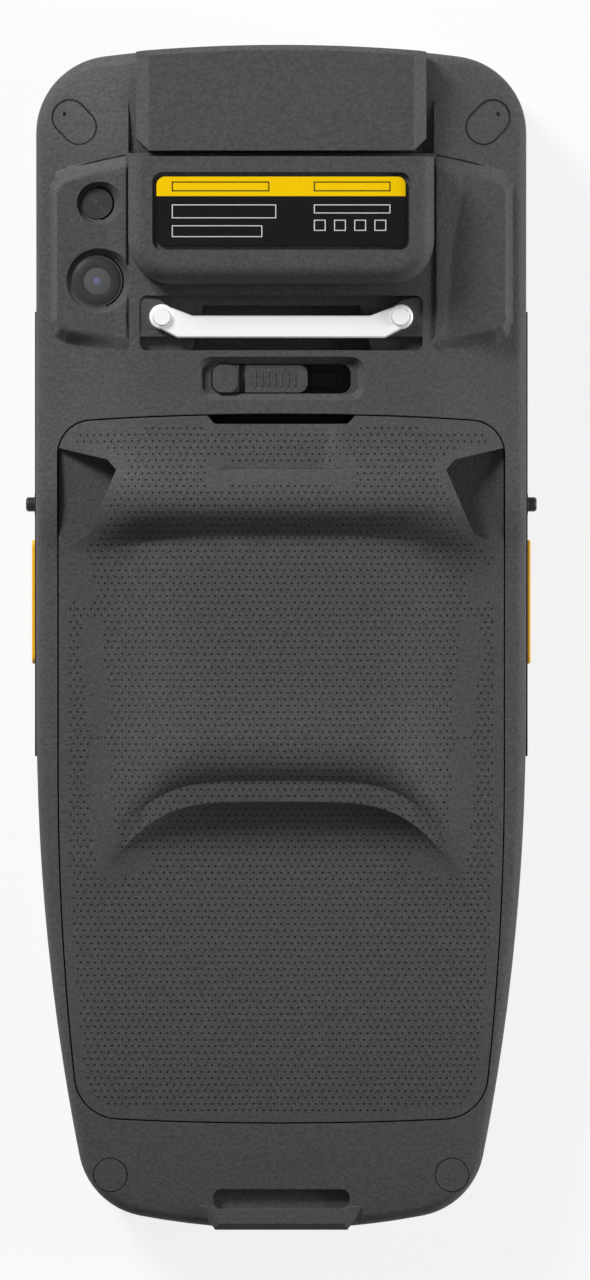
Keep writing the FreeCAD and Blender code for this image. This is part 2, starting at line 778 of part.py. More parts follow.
BACK = Back()


def build_battery_cover():
    """The battery cover: a thin sculpted lid with grip notches and a thumb recess."""
    gap, wall, seam = size("part_gap"), size("cover_wall"), size("seam_height")
    lid = BACK.form.common(cover_prism(gap, seam + gap, OVERHANG))
    lid = lid.cut(grip_notches(0, size("notch_floor")))
    lid = lid.cut(thumb_recess())
    inside = back_block(wall).common(cover_prism(gap + wall, seam - 1, OVERHANG))
    inside = inside.cut(grip_notches(wall, size("notch_floor") - wall))
    return lid.cut(inside).removeSplitter()


def grip_notches(extra, floor):
    """The two bites in the cover's sides above a floor, or the wall round them."""
    side, top = size("cover_half_width"), size("cover_top")
    tip = side - size("notch_tip")
    points = [(side + 1, top - 4.6 + extra), (side - 7.3, top - 6.6 + extra), (tip - extra, top - 8.1),
              (side - 4.7 - extra, top - 17.2 - extra / 2), (side + 1, top - 20.3 - extra)]
    return mirrored(polygon_prism(points, floor, OVERHANG))


def thumb_recess():
    """The opening at the cover's top edge and the shallow scoop below it."""
    half, top = size("thumb_half_width"), size("cover_top")
    step = top - size("thumb_depth")
    opening = polygon_prism([(-half, top + 1), (-half + 2.2, step), (half - 2.2, step), (half, top + 1)],
                            size("seam_height"), OVERHANG)
    height = BACK.face_over(0, step)
    return opening.fuse(scoop_solid(height, step))


def scoop_solid(height, step):
    """A wedge that is deepest at the thumb opening and runs out towards the palm."""
    profile = [Vector(-10.7, step + 0.5, height + 1), Vector(-6.8, step + 0.5, height - 0.9),
               Vector(6.8, step + 0.5, height - 0.9), Vector(10.7, step + 0.5, height + 1)]
    far = [Vector(-9.2, step - 8, height + 1.2), Vector(-6.0, step - 8, height + 0.3),
           Vector(6.0, step - 8, height + 0.3), Vector(9.2, step - 8, height + 1.2)]
    wires = [Part.makePolygon(corners + corners[:1]) for corners in (profile, far)]
    return Part.makeLoft(wires, True, True)


def screw_room(extra):
    """The four housing screws, head and shank, with room round them if asked."""
    gap = size("part_gap")
    screws = []
    upper = (size("upper_cap_x"), size("upper_cap_y"), upper_cap_floor())
    lower = (size("lower_cap_x"), -size("lower_cap_y"), lower_cap_floor())
    for x, y, floor in (upper, lower):
        head = Part.makeCylinder(1.7 + extra, 1.3, Vector(x, y, floor - 1.3 - gap / 2))
        shank = Part.makeCylinder(0.8 + extra, floor - 3.4, Vector(x, y, 3.0))
        screws.append(mirrored(head.fuse(shank)))
    return screws[0].fuse(screws[1])


def build_front_housing():
    """The face shell: display window, key holes, screw bosses, side pockets and the port."""
    seam, wall, floor, gap = size("seam_height"), size("wall"), size("front_floor"), size("part_gap")
    shell = body_prism(0, 0, seam)
    rim = [edge for edge in shell.Edges if edge.BoundBox.ZMax < 0.01]
    shell = shell.makeFillet(size("front_round"), rim)
    shell = shell.cut(body_prism(wall, floor, seam + 1))
    for x, y in ((size("upper_cap_x"), size("upper_cap_y")), (size("lower_cap_x"), -size("lower_cap_y"))):
        boss = Part.makeCylinder(2.4, seam - floor, Vector(x, y, floor))
        shell = shell.fuse(mirrored(boss).common(body_prism(0.1, 0, seam)))
    shell = shell.cut(screw_room(gap / 2))
    middle = size("display_middle")
    glass_width, glass_length = size("display_width") + 4, size("display_length") + 6
    sink = size("glass_sink") + size("glass_thickness")
    shell = shell.cut(rounded_block(glass_width, glass_length, -1, sink, 0, middle, 3.0))
    shell = shell.cut(rounded_block(size("display_width"), size("display_length"), -1, floor + 1, 0, middle, 1.0))
    for row, column in key_places():
        x, y = key_middle(row, column)
        shell = shell.cut(rounded_block(size("key_width") + 2 * gap, size("key_length") + 2 * gap, -1, floor + 1,
                                        x, y, size("key_corner") + gap))
    half_width = size("body_width") / 2
    pocket = rounded_side_block(half_width - wall - 1, half_width + 1, size("side_key_middle"), size("stud_height"),
                                size("side_key_length") + 2 * gap, size("side_key_height") + 2 * gap, 1.0 + gap)
    shell = shell.cut(mirrored(pocket))
    rail_seat = side_rail_space(0.0).common(box(0, 90, -90, 90, 0, seam))
    shell = shell.cut(mirrored(rail_seat))
    shell = shell.cut(mirrored(side_bore(size("stud_shank_radius"), half_width - wall - 1, half_width + 1)))
    half_cover = size("usb_cover_width") / 2 + gap
    half_height = size("usb_cover_height") / 2 + gap
    centre = size("usb_centre_height")
    end = size("body_length") / 2
    depth = size("usb_cover_thickness")
    shell = shell.cut(box(-half_cover, half_cover, -end - 1, -end + depth, centre - half_height, centre + half_height))
    half_port, half_port_height = size("usb_width") / 2, size("usb_height") / 2
    port = box(-half_port, half_port, -end - 1, -end + 10, centre - half_port_height, centre + half_port_height)
    return shell.cut(port)


def key_places():
    """Row and column of each front key, the scan key in the middle of the first row."""
    return [(row, column) for row in range(5) for column in range(3)]


def key_middle(row, column):
    """The middle of a front key."""
    return (column - 1) * size("key_pitch_across"), -size("key_first_row") - row * size("key_pitch_along")


def rounded_side_block(x_low, x_high, y, z, length, height, corner):
    """A block on the right side whose four edges along X are rounded."""
    block = box(x_low, x_high, y - length / 2, y + length / 2, z - height / 2, z + height / 2)
    edges = [edge for edge in block.Edges if edge.BoundBox.XLength > 1e-6]
    return block.makeFillet(corner, edges)


def side_rail_space(inset):
    """The grip strip let into the right side, with its ends slanted."""
    half_width = size("body_width") / 2
    low = half_width - size("rail_inlay") + inset
    top, bottom = size("rail_top") - inset, -size("rail_bottom") + inset
    height = size("rail_height") / 2 - inset
    middle = size("stud_height") - 0.6
    slant = 5.0
    profile = [(bottom, -height + 1), (top, -height + 1), (top + slant, -height + 3), (top + slant, height),
               (bottom - slant, height), (bottom - slant, -height + 3)]
    corners = [Vector(low, y, middle + z) for y, z in profile]
    reach = size("rail_inlay") + size("rail_proud") - inset
    return Part.Face(Part.makePolygon(corners + corners[:1])).extrude(Vector(reach, 0, 0))


def build_side_rail():
    """The right grip strip, open for the scan key and the stud."""
    gap = size("part_gap")
    rail = side_rail_space(0.0)
    key = rounded_side_block(30, 40, size("side_key_middle"), size("stud_height"),
                             size("side_key_length") + 2 * gap, size("side_key_height") + 2 * gap, 1.0 + gap)
    return rail.cut(key).cut(side_bore(size("stud_shank_radius") + 0.05, 30, 40))


def side_bore(radius, x_low, x_high):
    """A cylinder on the right stud's axis."""
    start = Vector(x_low, size("stud_y"), size("stud_height"))
    return Part.makeCylinder(radius, x_high - x_low, start, Vector(1, 0, 0))


def build_side_stud():
    """The right stud: a shank through the wall and a thinner free end with a chamfered rim."""
    face = size("body_width") / 2
    end = face + size("stud_length")
    shank = side_bore(size("stud_shank_radius"), face - size("wall"), face + size("stud_shoulder"))
    peg = side_bore(size("stud_radius"), face, end)
    rim = [edge for edge in peg.Edges if edge.BoundBox.XMin > end - 0.01]
    return shank.fuse(peg.makeChamfer(size("stud_chamfer"), rim))


def build_side_key():
    """The right scan key with its softened outer rim."""
    half_width = size("body_width") / 2
    key = rounded_side_block(half_width - 1.4, half_width + size("side_key_proud"), size("side_key_middle"),
                             size("stud_height"), size("side_key_length"), size("side_key_height"), 1.0)
    rim = [edge for edge in key.Edges if edge.BoundBox.XMin > half_width + size("side_key_proud") - 0.01]
    return key.makeFillet(0.3, rim)


def build_strap_bar():
    """The flat steel bar with a raised eye at each end."""
    eye_x, eye_y, radius = size("strap_eye_x"), size("strap_eye_y"), size("strap_eye_radius")
    low, thickness = size("strap_height"), size("strap_thickness")
    bottom = size("strap_bottom")
    top = bottom + size("strap_width")
    points = [
        (0, bottom), (eye_x - 2.2, bottom), (eye_x + radius * 0.78, eye_y - radius * 0.62),
        (eye_x - radius * 0.62, eye_y + radius * 0.78), (eye_x - 4.4, top), (0, top),
    ]
    strip = polygon_prism(points, low, low + thickness)
    eye = Part.makeCylinder(radius, thickness, Vector(eye_x, eye_y, low))
    bar = mirrored(strip.fuse(eye)).removeSplitter()
    rim = [edge for edge in bar.Edges if edge.BoundBox.ZMin > low + thickness - 0.001]
    return bar.makeChamfer(0.2, rim).cut(strap_screws(0.05))


def strap_screws(extra):
    """The two screws of the strap bar: a domed head over a shank in the pad."""
    eye = Vector(size("strap_eye_x"), size("strap_eye_y"), 0)
    top = size("strap_height") + size("strap_thickness")
    head = Part.makeCylinder(size("strap_screw_radius") + extra, size("strap_screw_head") + 0.4,
                             eye + Vector(0, 0, top - 0.4))
    shank = Part.makeCylinder(0.7 + extra, size("strap_thickness") + 1.6, eye + Vector(0, 0, top - 2.6))
    return mirrored(head.fuse(shank))


def build_latch_slider():
    """The latch's finger piece: a raised thumb block, a groove and a flat tongue."""
    width, length = size("latch_slider_width"), size("latch_slot_length") - 0.3
    left = -size("latch_slot_width") / 2 + 0.15
    middle = size("latch_middle")
    top = latch_face_height() - size("latch_recess_depth")
    slider = rounded_block(width, length, size("latch_floor") + 0.05, top, left + width / 2, middle, 1.3)
    thumb = rounded_block(3.6, length, top - 0.2, top + 0.7, left + 1.8, middle, 1.3)
    groove = box(left + 3.8, left + 4.7, middle - length, middle + length, top - 0.7, top + 1)
    return slider.fuse(thumb).cut(groove)


def build_latch_bolt():
    """The bolt plate under the slider with two fingers towards the cover."""
    left = -size("latch_slot_width") / 2 + 0.15
    right = left + size("latch_slider_width")
    middle, top = size("latch_middle"), size("latch_floor") - 0.1
    plate_body = box(left, right, middle - 2.4, middle + 2.4, top - 1.5, top)
    fingers = [
        box(x, x + 2.4, size("cover_top") + 0.3, middle - 2.4, top - 1.5, top) for x in (left, right - 2.4)
    ]
    return plate_body.multiFuse(fingers).removeSplitter()


def build_cover_seal():
    """The rubber ring inside the cover's wall, which closes on the bay's ledge."""
    low = size("seam_height") + 0.05
    ring = cover_prism(size("part_gap") + size("cover_wall"), low, low + 1.0)
    return ring.cut(cover_prism(size("cover_lip") - 0.02, low - 1, low + 2))


def build_usb_cover():
    """The rubber flap over the port, following the chin."""
    half_width = size("usb_cover_width") / 2
    half_height = size("usb_cover_height") / 2
    centre, end = size("usb_centre_height"), size("body_length") / 2
    flap = box(-half_width, half_width, -end - 1, -end + size("usb_cover_thickness") - 0.1,
               centre - half_height, centre + half_height)
    return flap.common(body_prism(0.05, 0, size("seam_height")))


def build_scan_window():
    """The dark window plate in the upper end face."""
    half_width = size("window_width") / 2
    end, thickness = size("body_length") / 2, size("window_depth")
    low = max(size("window_centre_height") - size("window_height") / 2, size("seam_height")) + 0.05
    high = size("window_centre_height") + size("window_height") / 2 - 0.05
    return box(-half_width, half_width, end - 1.0 - thickness, end - 1.0, low, high)


def build_screw_caps():
    """The oval and the round plugs over the housing screws, flush with the back."""
    face = back_block(0.05)
    upper = upper_cap_prism(0, upper_cap_floor(), OVERHANG).common(face)
    lower = lower_cap_prism(0, lower_cap_floor(), OVERHANG).common(face)
    feature("upper_screw_caps", mirrored(upper))
    feature("lower_screw_caps", mirrored(lower))


def build_shells():
    """The shells and what follows their form."""
    feature("rear_housing", build_rear_housing())
    feature("front_housing", build_front_housing())
    feature("battery_cover", build_battery_cover())
    feature("scanner_cap", cap_form())
    feature("scan_window", build_scan_window())
    feature("cover_seal", build_cover_seal())
    feature("usb_cover", build_usb_cover())
    build_screw_caps()
    feature("housing_screws", screw_room(0))


def build_sides():
    """Grip strips, scan keys and studs, right and left."""
    for label, shape in (("side_rail", build_side_rail()), ("scan_key", build_side_key()),
                         ("side_stud", build_side_stud())):
        feature(f"right_{label}", shape)
        feature(f"left_{label}", shape.mirror(Vector(), Vector(1, 0, 0)))
    switches = [
        plate(f"{name}_switch", "0.9", "6", "2.2", x=f"{side} * (Sizes.body_width / 2 - 2.5)",
              y="Sizes.side_key_middle", z="4.4")
        for name, side in (("right", 1), ("left", -1))
    ]
    keep(join("side_switches", switches), "side_switches")


def build_strap_and_latch():
    """The strap bar with its screws and the battery latch."""
    feature("strap_bar", build_strap_bar())
    feature("strap_screws", strap_screws(0))
    feature("latch_slider", build_latch_slider())
    feature("latch_bolt", build_latch_bolt())
    keep(plate("latch_detent", "Sizes.latch_slot_width - 4", "2.4", "0.25", y="Sizes.latch_middle",
               z="Sizes.latch_floor - 2.2"), "latch_detent")


def build_optics():
    """Cameras, flash, scan engine and the label plate."""
    camera_seat = camera_face_height() - size("camera_depth")
    flash_seat = flash_face_height() - size("camera_depth")
    keep(plate("label_plate", "Sizes.label_width", "Sizes.label_length", "Sizes.label_thickness",
               y="Sizes.label_middle", z="Sizes.hump_height - Sizes.label_recess", corner="Sizes.label_corner"),
         "label_plate")
    keep(disc("camera_glass", "Sizes.camera_glass_radius", "0.8", x="-Sizes.camera_x", y="Sizes.camera_y",
              z=str(camera_seat - 0.8)), "camera_glass")
    keep(disc("camera_module", "Sizes.camera_glass_radius - 0.2", str(camera_seat - 0.9 - 6.6),
              x="-Sizes.camera_x", y="Sizes.camera_y", z="6.6"), "camera_module")
    keep(disc("flash_lens", "Sizes.flash_lens_radius", "0.8", x="-Sizes.camera_x", y="Sizes.flash_y",
              z=str(flash_seat - 0.8)), "flash_lens")
    keep(disc("flash_led", "Sizes.flash_lens_radius - 0.2", str(flash_seat - 0.9 - 6.6), x="-Sizes.camera_x",
              y="Sizes.flash_y", z="6.6"), "flash_led")
    keep(plate("scan_engine", "21", "12", "6.6", y="Sizes.body_length / 2 - 14.5", z="6.6", corner="0.8"),
         "scan_engine")


def build_battery():
    """The battery with its raised cell and the contact block."""
    floor = "Sizes.bay_floor + Sizes.part_gap / 2"
    pack = plate("battery_base", "Sizes.battery_width", "Sizes.battery_length", "Sizes.battery_height",
                 y="Sizes.battery_middle", z=floor, corner="3")
    cell = plate("battery_cell", "Sizes.cell_width", "Sizes.cell_length", "Sizes.cell_height",
                 y="Sizes.cell_middle", z=floor, corner="3", soften="1.2")
    keep(join("battery_pack", [pack, cell]), "battery_pack")
    keep(plate("battery_contacts", "Sizes.contact_width", "Sizes.contact_length", "2.6",
               y="Sizes.battery_middle + Sizes.battery_length / 2 + Sizes.contact_length / 2 + 0.3", z=floor,
               corner="0.5"), "battery_contacts")


def build_face():
    """Display, keypad and boards under the face."""
    glass_z = "Sizes.glass_sink"
    keep(plate("display_glass", "Sizes.display_width + 3.8", "Sizes.display_length + 5.8", "Sizes.glass_thickness",
               y="Sizes.display_middle", z=glass_z, corner="2.9"), "display_glass")
    keep(plate("lcd_module", "Sizes.display_width - 0.4", "Sizes.display_length - 0.4", "Sizes.lcd_thickness",
               y="Sizes.display_middle", z="Sizes.glass_sink + Sizes.glass_thickness + 0.05", corner="0.8"),
         "lcd_module")
    for row, column in key_places():
        label = "key_scan" if (row, column) == (0, 1) else f"key_row{row + 1}_column{column + 1}"
        keep(plate(label, "Sizes.key_width", "Sizes.key_length", "Sizes.key_height",
                   x=f"{column - 1} * Sizes.key_pitch_across",
                   y=f"-Sizes.key_first_row - {row} * Sizes.key_pitch_along", z="Sizes.key_proud",
                   corner="Sizes.key_corner"), label)
    mat_z = "Sizes.key_proud + Sizes.key_height + Sizes.key_travel + 0.05"
    mat_width = "2 * Sizes.key_pitch_across + Sizes.key_width + 1"
    mat_length = "4 * Sizes.key_pitch_along + Sizes.key_length + 1"
    mat_y = "-Sizes.key_first_row - 2 * Sizes.key_pitch_along"
    keep(plate("keypad_mat", mat_width, mat_length, "Sizes.mat_thickness", y=mat_y, z=mat_z, corner="2"),
         "keypad_mat")
    keep(plate("keypad_board", mat_width, mat_length, "0.8", y=mat_y,
               z=f"{mat_z} + Sizes.mat_thickness + 0.05", corner="1"), "keypad_board")
    keep(plate("main_board", "Sizes.board_width", "Sizes.board_length", "Sizes.board_thickness",
               y="Sizes.board_middle", z="Sizes.board_height", corner="1.5"), "main_board")
    keep(plate("usb_socket", "Sizes.usb_width - 0.1", "8", "Sizes.usb_height - 0.1",
               y="-Sizes.body_length / 2 + Sizes.usb_cover_thickness + 4.3",
               z="Sizes.usb_centre_height - Sizes.usb_height / 2 + 0.05", corner="1.2"), "usb_socket")
    keep(plate("speaker", "16", "10", "2.4", x="-14", y="20.6 - Sizes.body_length / 2", z="4.4",
               corner="1"), "speaker")
    keep(disc("vibration_motor", "3", "2.4", x="16", y="19.6 - Sizes.body_length / 2", z="4.4"), "vibration_motor")


def check_objects():
    """Stops before anything is written if an object failed or a sub-part has no sound shape."""
    document.recompute()
    for item in document.Objects:
        if {"Invalid", "Error"} & set(item.State):
            raise RuntimeError(f"{item.Label} did not recompute: {item.State}")
    for node in nodes:
        if node.Shape.isNull() or not node.Shape.isValid():
            raise RuntimeError(f"{node.Label} has no sound shape")


def write_parts():
    """Writes each sub-part to a file of its own name."""
    os.makedirs("parts", exist_ok=True)
    for node in nodes:
        node.Shape.exportStep(f"parts/{node.Label}.step")


build_shells()
build_sides()
build_strap_and_latch()
build_optics()
build_battery()
build_face()
check_objects()
write_parts()
print(len(nodes), "sub-parts")
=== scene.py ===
"""Dresses the barcode data terminal: finishes, fine parts, studio and camera.

The terminal lies on its face. X runs across it, Y towards the scanner end, Z out of the back.
"""
import json
import logging
import math
from dataclasses import dataclass, field
from enum import Enum
from typing import Any, Iterable

import bmesh
import bpy
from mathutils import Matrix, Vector
from mathutils.bvhtree import BVHTree

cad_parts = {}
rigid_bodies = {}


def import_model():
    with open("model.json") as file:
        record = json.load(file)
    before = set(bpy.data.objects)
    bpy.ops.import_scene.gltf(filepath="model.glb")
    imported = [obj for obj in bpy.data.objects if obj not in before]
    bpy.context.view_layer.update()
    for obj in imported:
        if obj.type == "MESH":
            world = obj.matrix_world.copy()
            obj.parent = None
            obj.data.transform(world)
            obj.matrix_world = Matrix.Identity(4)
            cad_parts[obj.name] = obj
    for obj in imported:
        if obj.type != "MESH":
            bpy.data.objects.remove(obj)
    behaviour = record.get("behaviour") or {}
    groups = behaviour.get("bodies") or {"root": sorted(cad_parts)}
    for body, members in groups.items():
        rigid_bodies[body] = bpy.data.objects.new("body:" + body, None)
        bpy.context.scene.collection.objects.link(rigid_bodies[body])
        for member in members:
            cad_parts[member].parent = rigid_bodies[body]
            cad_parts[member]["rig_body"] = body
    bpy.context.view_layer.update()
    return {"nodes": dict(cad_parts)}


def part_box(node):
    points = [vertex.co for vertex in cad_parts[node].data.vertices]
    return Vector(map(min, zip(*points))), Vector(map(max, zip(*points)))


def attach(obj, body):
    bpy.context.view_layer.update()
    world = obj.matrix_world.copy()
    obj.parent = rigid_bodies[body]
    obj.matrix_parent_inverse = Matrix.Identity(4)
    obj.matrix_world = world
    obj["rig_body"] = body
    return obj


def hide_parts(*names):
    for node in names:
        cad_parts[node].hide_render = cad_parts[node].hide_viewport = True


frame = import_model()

LOG = logging.getLogger("terminal")
MM = 0.001
MERGE_MM = 0.002
CLOUD_MM = 14.0
PATCH_MM = 6.0
SHEEN_SPREAD = 0.015
PIT_GAIN = 2.4
PIT_START = -0.7
WHITE = (1.0, 1.0, 1.0, 1.0)
CRISP_DEGREES = 35
DOWN = Vector((0, 0, -1))
ABOVE_MM = 60.0


class Slot(Enum):
    """Material slots of the record."""

    HOUSING = "housing_plastic"
    COVER = "cover_plastic"
    RUBBER = "grip_rubber"
    YELLOW = "yellow_plastic"
    KEYS = "key_plastic"
    BAR = "strap_steel"
    SCREW = "screw_steel"
    LABEL = "label_film"
    GLASS = "dark_glass"
    LENS = "lens_glass"
    BLACK = "black_plastic"
    STUD = "stud_steel"


def linear(code: str) -> tuple[float, float, float, float]:
    """Turns an sRGB hex colour to linear.

    Args:
        code: Six hex digits, with or without a hash.

    Returns:
        Red, green, blue and a full alpha.
    """
    parts = [int(code.lstrip("#")[i:i + 2], 16) / 255 for i in (0, 2, 4)]
    r, g, b = (p / 12.92 if p <= 0.04045 else ((p + 0.055) / 1.055) ** 2.4 for p in parts)
    return (r, g, b, 1.0)


def add(
    tree: bpy.types.NodeTree, kind: str, inputs: dict[Any, Any] | None = None, **settings: Any,
) -> bpy.types.Node:
    """Adds a node, sets it up and links it.

    Args:
        tree: The node tree.
        kind: The node's type name.
        inputs: Socket name or index to a value or to another node's output.
        settings: Properties of the node.

    Returns:
        The new node.
    """
    node = tree.nodes.new(kind)
    for name, value in settings.items():
        setattr(node, name, value)
    for name, value in (inputs or {}).items():
        socket = node.inputs[name]
        if isinstance(value, bpy.types.NodeSocket):
            tree.links.new(value, socket)
        else:
            socket.default_value = value
    return node


def math_node(tree: bpy.types.NodeTree, operation: str, *values: Any) -> bpy.types.NodeSocket:
    """Adds a Math node and gives back its result."""
    return add(tree, "ShaderNodeMath", dict(enumerate(values)), operation=operation).outputs[0]


@dataclass(frozen=True)
class Finish:
    """What all finishes share: a colour, a roughness and a fine grain."""

    name: str
    colour: str
    roughness: float
    grain_mm: float = 0.35
    grain_height_mm: float = 0.012
    blotch: float = 0.06
    pit_shade: float = 0.0
    metallic: float = 0.0
    specular: float = 0.45
    edge_mm: float = 0.18

    def build(self) -> bpy.types.Material:
        """Makes the material.

        Returns:
            The finished material.
        """
        material = bpy.data.materials.new(self.name)
        material.use_nodes = True
        tree = material.node_tree
        tree.nodes.clear()
        out = add(tree, "ShaderNodeOutputMaterial")
        place = add(tree, "ShaderNodeTexCoord").outputs["Object"]
        shader = add(tree, "ShaderNodeBsdfPrincipled", {
            "Metallic": self.metallic, "Specular IOR Level": self.specular,
        })
        colour = self.tint(tree, place)
        tree.links.new(colour, shader.inputs["Base Color"])
        tree.links.new(self.sheen_map(tree, place), shader.inputs["Roughness"])
        tree.links.new(self.relief(tree, place), shader.inputs["Normal"])
        self.extra(shader)
        tree.links.new(shader.outputs[0], out.inputs["Surface"])
        return material

    def noise(self, tree: bpy.types.NodeTree, place: Any, size_mm: float, detail: float = 2.0) -> Any:
        """A noise with grains of a real size.

        Args:
            tree: The material's tree.
            place: The coordinates.
            size_mm: About how wide a grain is.
            detail: How many finer layers it has.

        Returns:
            The noise's value.
        """
        inputs = {"Vector": place, "Scale": 1.0 / (size_mm * MM), "Detail": detail}
        return add(tree, "ShaderNodeTexNoise", inputs).outputs["Fac"]

    def tint(self, tree: bpy.types.NodeTree, place: Any) -> Any:
        """The colour with a faint large blotch and painted shade in the grain's pits.

        Args:
            tree: The material's tree.
            place: The coordinates.

        Returns:
            The colour.
        """
        base = linear(self.colour)
        dark = tuple(c * (1 - self.blotch) for c in base[:3]) + (1.0,)
        light = tuple(min(c * (1 + self.blotch), 1.0) for c in base[:3]) + (1.0,)
        clouds = add(tree, "ShaderNodeMix", {
            0: self.noise(tree, place, CLOUD_MM, 3.0), 6: dark, 7: light,
        }, data_type="RGBA").outputs[2]
        if not self.pit_shade:
            return clouds
        # Painted shade: the colour darkens in the grain's pits, where the grain noise is low.
        pits = math_node(tree, "MULTIPLY_ADD", self.noise(tree, place, self.grain_mm), PIT_GAIN, PIT_START)
        pits.node.use_clamp = True
        deepest = (1 - self.pit_shade, 1 - self.pit_shade, 1 - self.pit_shade, 1.0)
        shadow = add(tree, "ShaderNodeMix", {0: pits, 6: deepest, 7: WHITE}, data_type="RGBA").outputs[2]
        return add(tree, "ShaderNodeMix", {0: 1.0, 6: clouds, 7: shadow}, data_type="RGBA",
                   blend_type="MULTIPLY").outputs[2]

    def sheen_map(self, tree: bpy.types.NodeTree, place: Any) -> Any:
        """The roughness with a small handling variation.

        Args:
            tree: The material's tree.
            place: The coordinates.

        Returns:
            The roughness.
        """
        return add(tree, "ShaderNodeMapRange", {
            "Value": self.noise(tree, place, PATCH_MM, 4.0), "From Min": 0.3, "From Max": 0.7,
            "To Min": self.roughness - SHEEN_SPREAD, "To Max": self.roughness + SHEEN_SPREAD,
        }).outputs[0]

    def relief(self, tree: bpy.types.NodeTree, place: Any) -> Any:
        """The normal: softened edges under the moulded grain.

        Args:
            tree: The material's tree.
            place: The coordinates.

        Returns:
            The normal.
        """
        soft = add(tree, "ShaderNodeBevel", {"Radius": self.edge_mm * MM}, samples=4).outputs[0]
        grain = self.noise(tree, place, self.grain_mm, 3.0)
        return add(tree, "ShaderNodeBump", {
            "Strength": 1.0, "Distance": self.grain_height_mm * MM, "Height": grain, "Normal": soft,
        }).outputs[0]

    def extra(self, shader: bpy.types.Node) -> None:
        """Room for what a special finish adds to the shader."""


@dataclass(frozen=True)
class Polished(Finish):
    """A finish with a clear coat or glass over it."""

    coat: float = 0.6

    def extra(self, shader: bpy.types.Node) -> None:
        """Adds the coat."""
        shader.inputs["Coat Weight"].default_value = self.coat
        shader.inputs["Coat Roughness"].default_value = 0.05


# Polycarbonate-ABS blend, moulded against a spark-eroded tool: a dull grey with a fine even grain
HOUSING = Finish("moulded_pc_abs_housing", "#535354", 0.56, grain_mm=0.5, grain_height_mm=0.08,
                 pit_shade=0.34, specular=0.16)
# The same blend on the battery cover, a little coarser where the hand rests
COVER = Finish("moulded_pc_abs_cover", "#535354", 0.58, grain_mm=0.46, grain_height_mm=0.08,
               pit_shade=0.36, specular=0.16)
# Thermoplastic rubber: darker and more matt than the shells
RUBBER = Finish("moulded_tpe_rubber", "#353536", 0.7, grain_mm=0.34, grain_height_mm=0.03,
                pit_shade=0.1, specular=0.15)
# Dyed ABS with a satin skin, warm yellow
YELLOW = Finish("satin_yellow_abs", "#efb31a", 0.42, grain_mm=0.6, grain_height_mm=0.004, blotch=0.03)
# Silicone keys with a sprayed matt skin
KEYS = Finish("coated_silicone_key", "#58585a", 0.5)
# Stainless strip, sand-blasted and electropolished: almost white under soft light
BAR = Finish("electropolished_stainless", "#fbfbfa", 0.4, grain_mm=0.25, grain_height_mm=0.002, blotch=0.01,
             metallic=0.25)
# Nickel-plated steel of the screws, and blackened steel of the studs
SCREW = Finish("nickel_plated_steel", "#d8d8d6", 0.28, grain_mm=0.3, grain_height_mm=0.002, blotch=0.03,
               metallic=0.9)
STUD = Finish("black_oxide_steel", "#2c2c2e", 0.4, grain_mm=0.2, grain_height_mm=0.004, metallic=0.6)
# Printed polyester film with a satin laminate
FILM_BLACK = Finish("laminated_black_film", "#060607", 0.45, blotch=0.02, grain_height_mm=0.001,
                    specular=0.12)
FILM_YELLOW = Finish("laminated_yellow_film", "#ffd000", 0.45, blotch=0.015, grain_height_mm=0.001,
                     specular=0.12)
# White screen-printing ink
FILM_WHITE = Finish("printed_white_ink", "#e9e9ea", 0.4, blotch=0.02, grain_height_mm=0.0)
# Lenses: near-black glass with an anti-reflex coat
GLASS = Polished("coated_camera_glass", "#141417", 0.08, blotch=0.02, grain_height_mm=0.0,
                 coat=0.4, specular=0.5)
# Black anodised aluminium of the lens barrel, and the coated elements inside it
BARREL = Finish("anodised_barrel", "#2b2b2d", 0.4, grain_height_mm=0.001, specular=0.3)
LENS_RING = Polished("anodised_lens_ring", "#4a4a4d", 0.3, grain_height_mm=0.001, coat=0.15)
LENS_BLUE = Polished("coated_lens_element", "#3d4a86", 0.1, grain_height_mm=0.0, coat=1.0, specular=0.8)
# Smoked acrylic over the flash
FLASH = Finish("smoked_acrylic_lens", "#434344", 0.55, grain_height_mm=0.002, specular=0.2)
# Painted shade: a near-black colour standing in for the shade in the cover's dimples, the deck grooves and
# the screw caps' pry notches
PAINTED_DIMPLE_SHADE = Finish("painted_dimple_shade", "#1c1c1d", 0.6, grain_mm=0.3, grain_height_mm=0.004, specular=0.1)
# Black moulded plastic, lacquered board, gilded contacts and the battery's shrink sleeve
BLACK = Finish("black_moulding", "#1b1b1c", 0.5, specular=0.15)
BOARD = Finish("lacquered_circuit_board", "#1d4a2c", 0.35, blotch=0.2)
GOLD = Finish("gold_plated_contact", "#d9b052", 0.25, metallic=0.95, grain_height_mm=0.001)
SLEEVE = Finish("matt_battery_sleeve", "#2b2c30", 0.5)


class Wardrobe:
    """Builds each finish once."""

    def __init__(self) -> None:
        """Starts empty."""
        self.made: dict[str, bpy.types.Material] = {}

    def get(self, finish: Finish) -> bpy.types.Material:
        """The material of a finish.

        Args:
            finish: The finish to look up.

        Returns:
            Its material, made on first use.
        """
        if finish.name not in self.made:
            self.made[finish.name] = finish.build()
        return self.made[finish.name]


WARDROBE = Wardrobe()


def dress(piece: bpy.types.Object, *finishes: Finish) -> None:
    """Gives a piece its materials.

    Args:
        piece: A mesh object.
        finishes: One finish for each material slot.
    """
    piece.data.materials.clear()
    for finish in finishes:
        piece.data.materials.append(WARDROBE.get(finish))


def new_piece(name: str, mesh: bpy.types.Mesh, body: str) -> bpy.types.Object:
    """Links a mesh as a piece of the object that rides on a body.

    Args:
        name: The piece's name.
        mesh: Its finished mesh, in the row frame.
        body: The CAD body it moves with.

    Returns:
        The new object.
    """
    piece = bpy.data.objects.new(name, mesh)
    bpy.context.scene.collection.objects.link(piece)
    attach(piece, body)
    LOG.info("made %s: %d faces", name, len(mesh.polygons))
    return piece


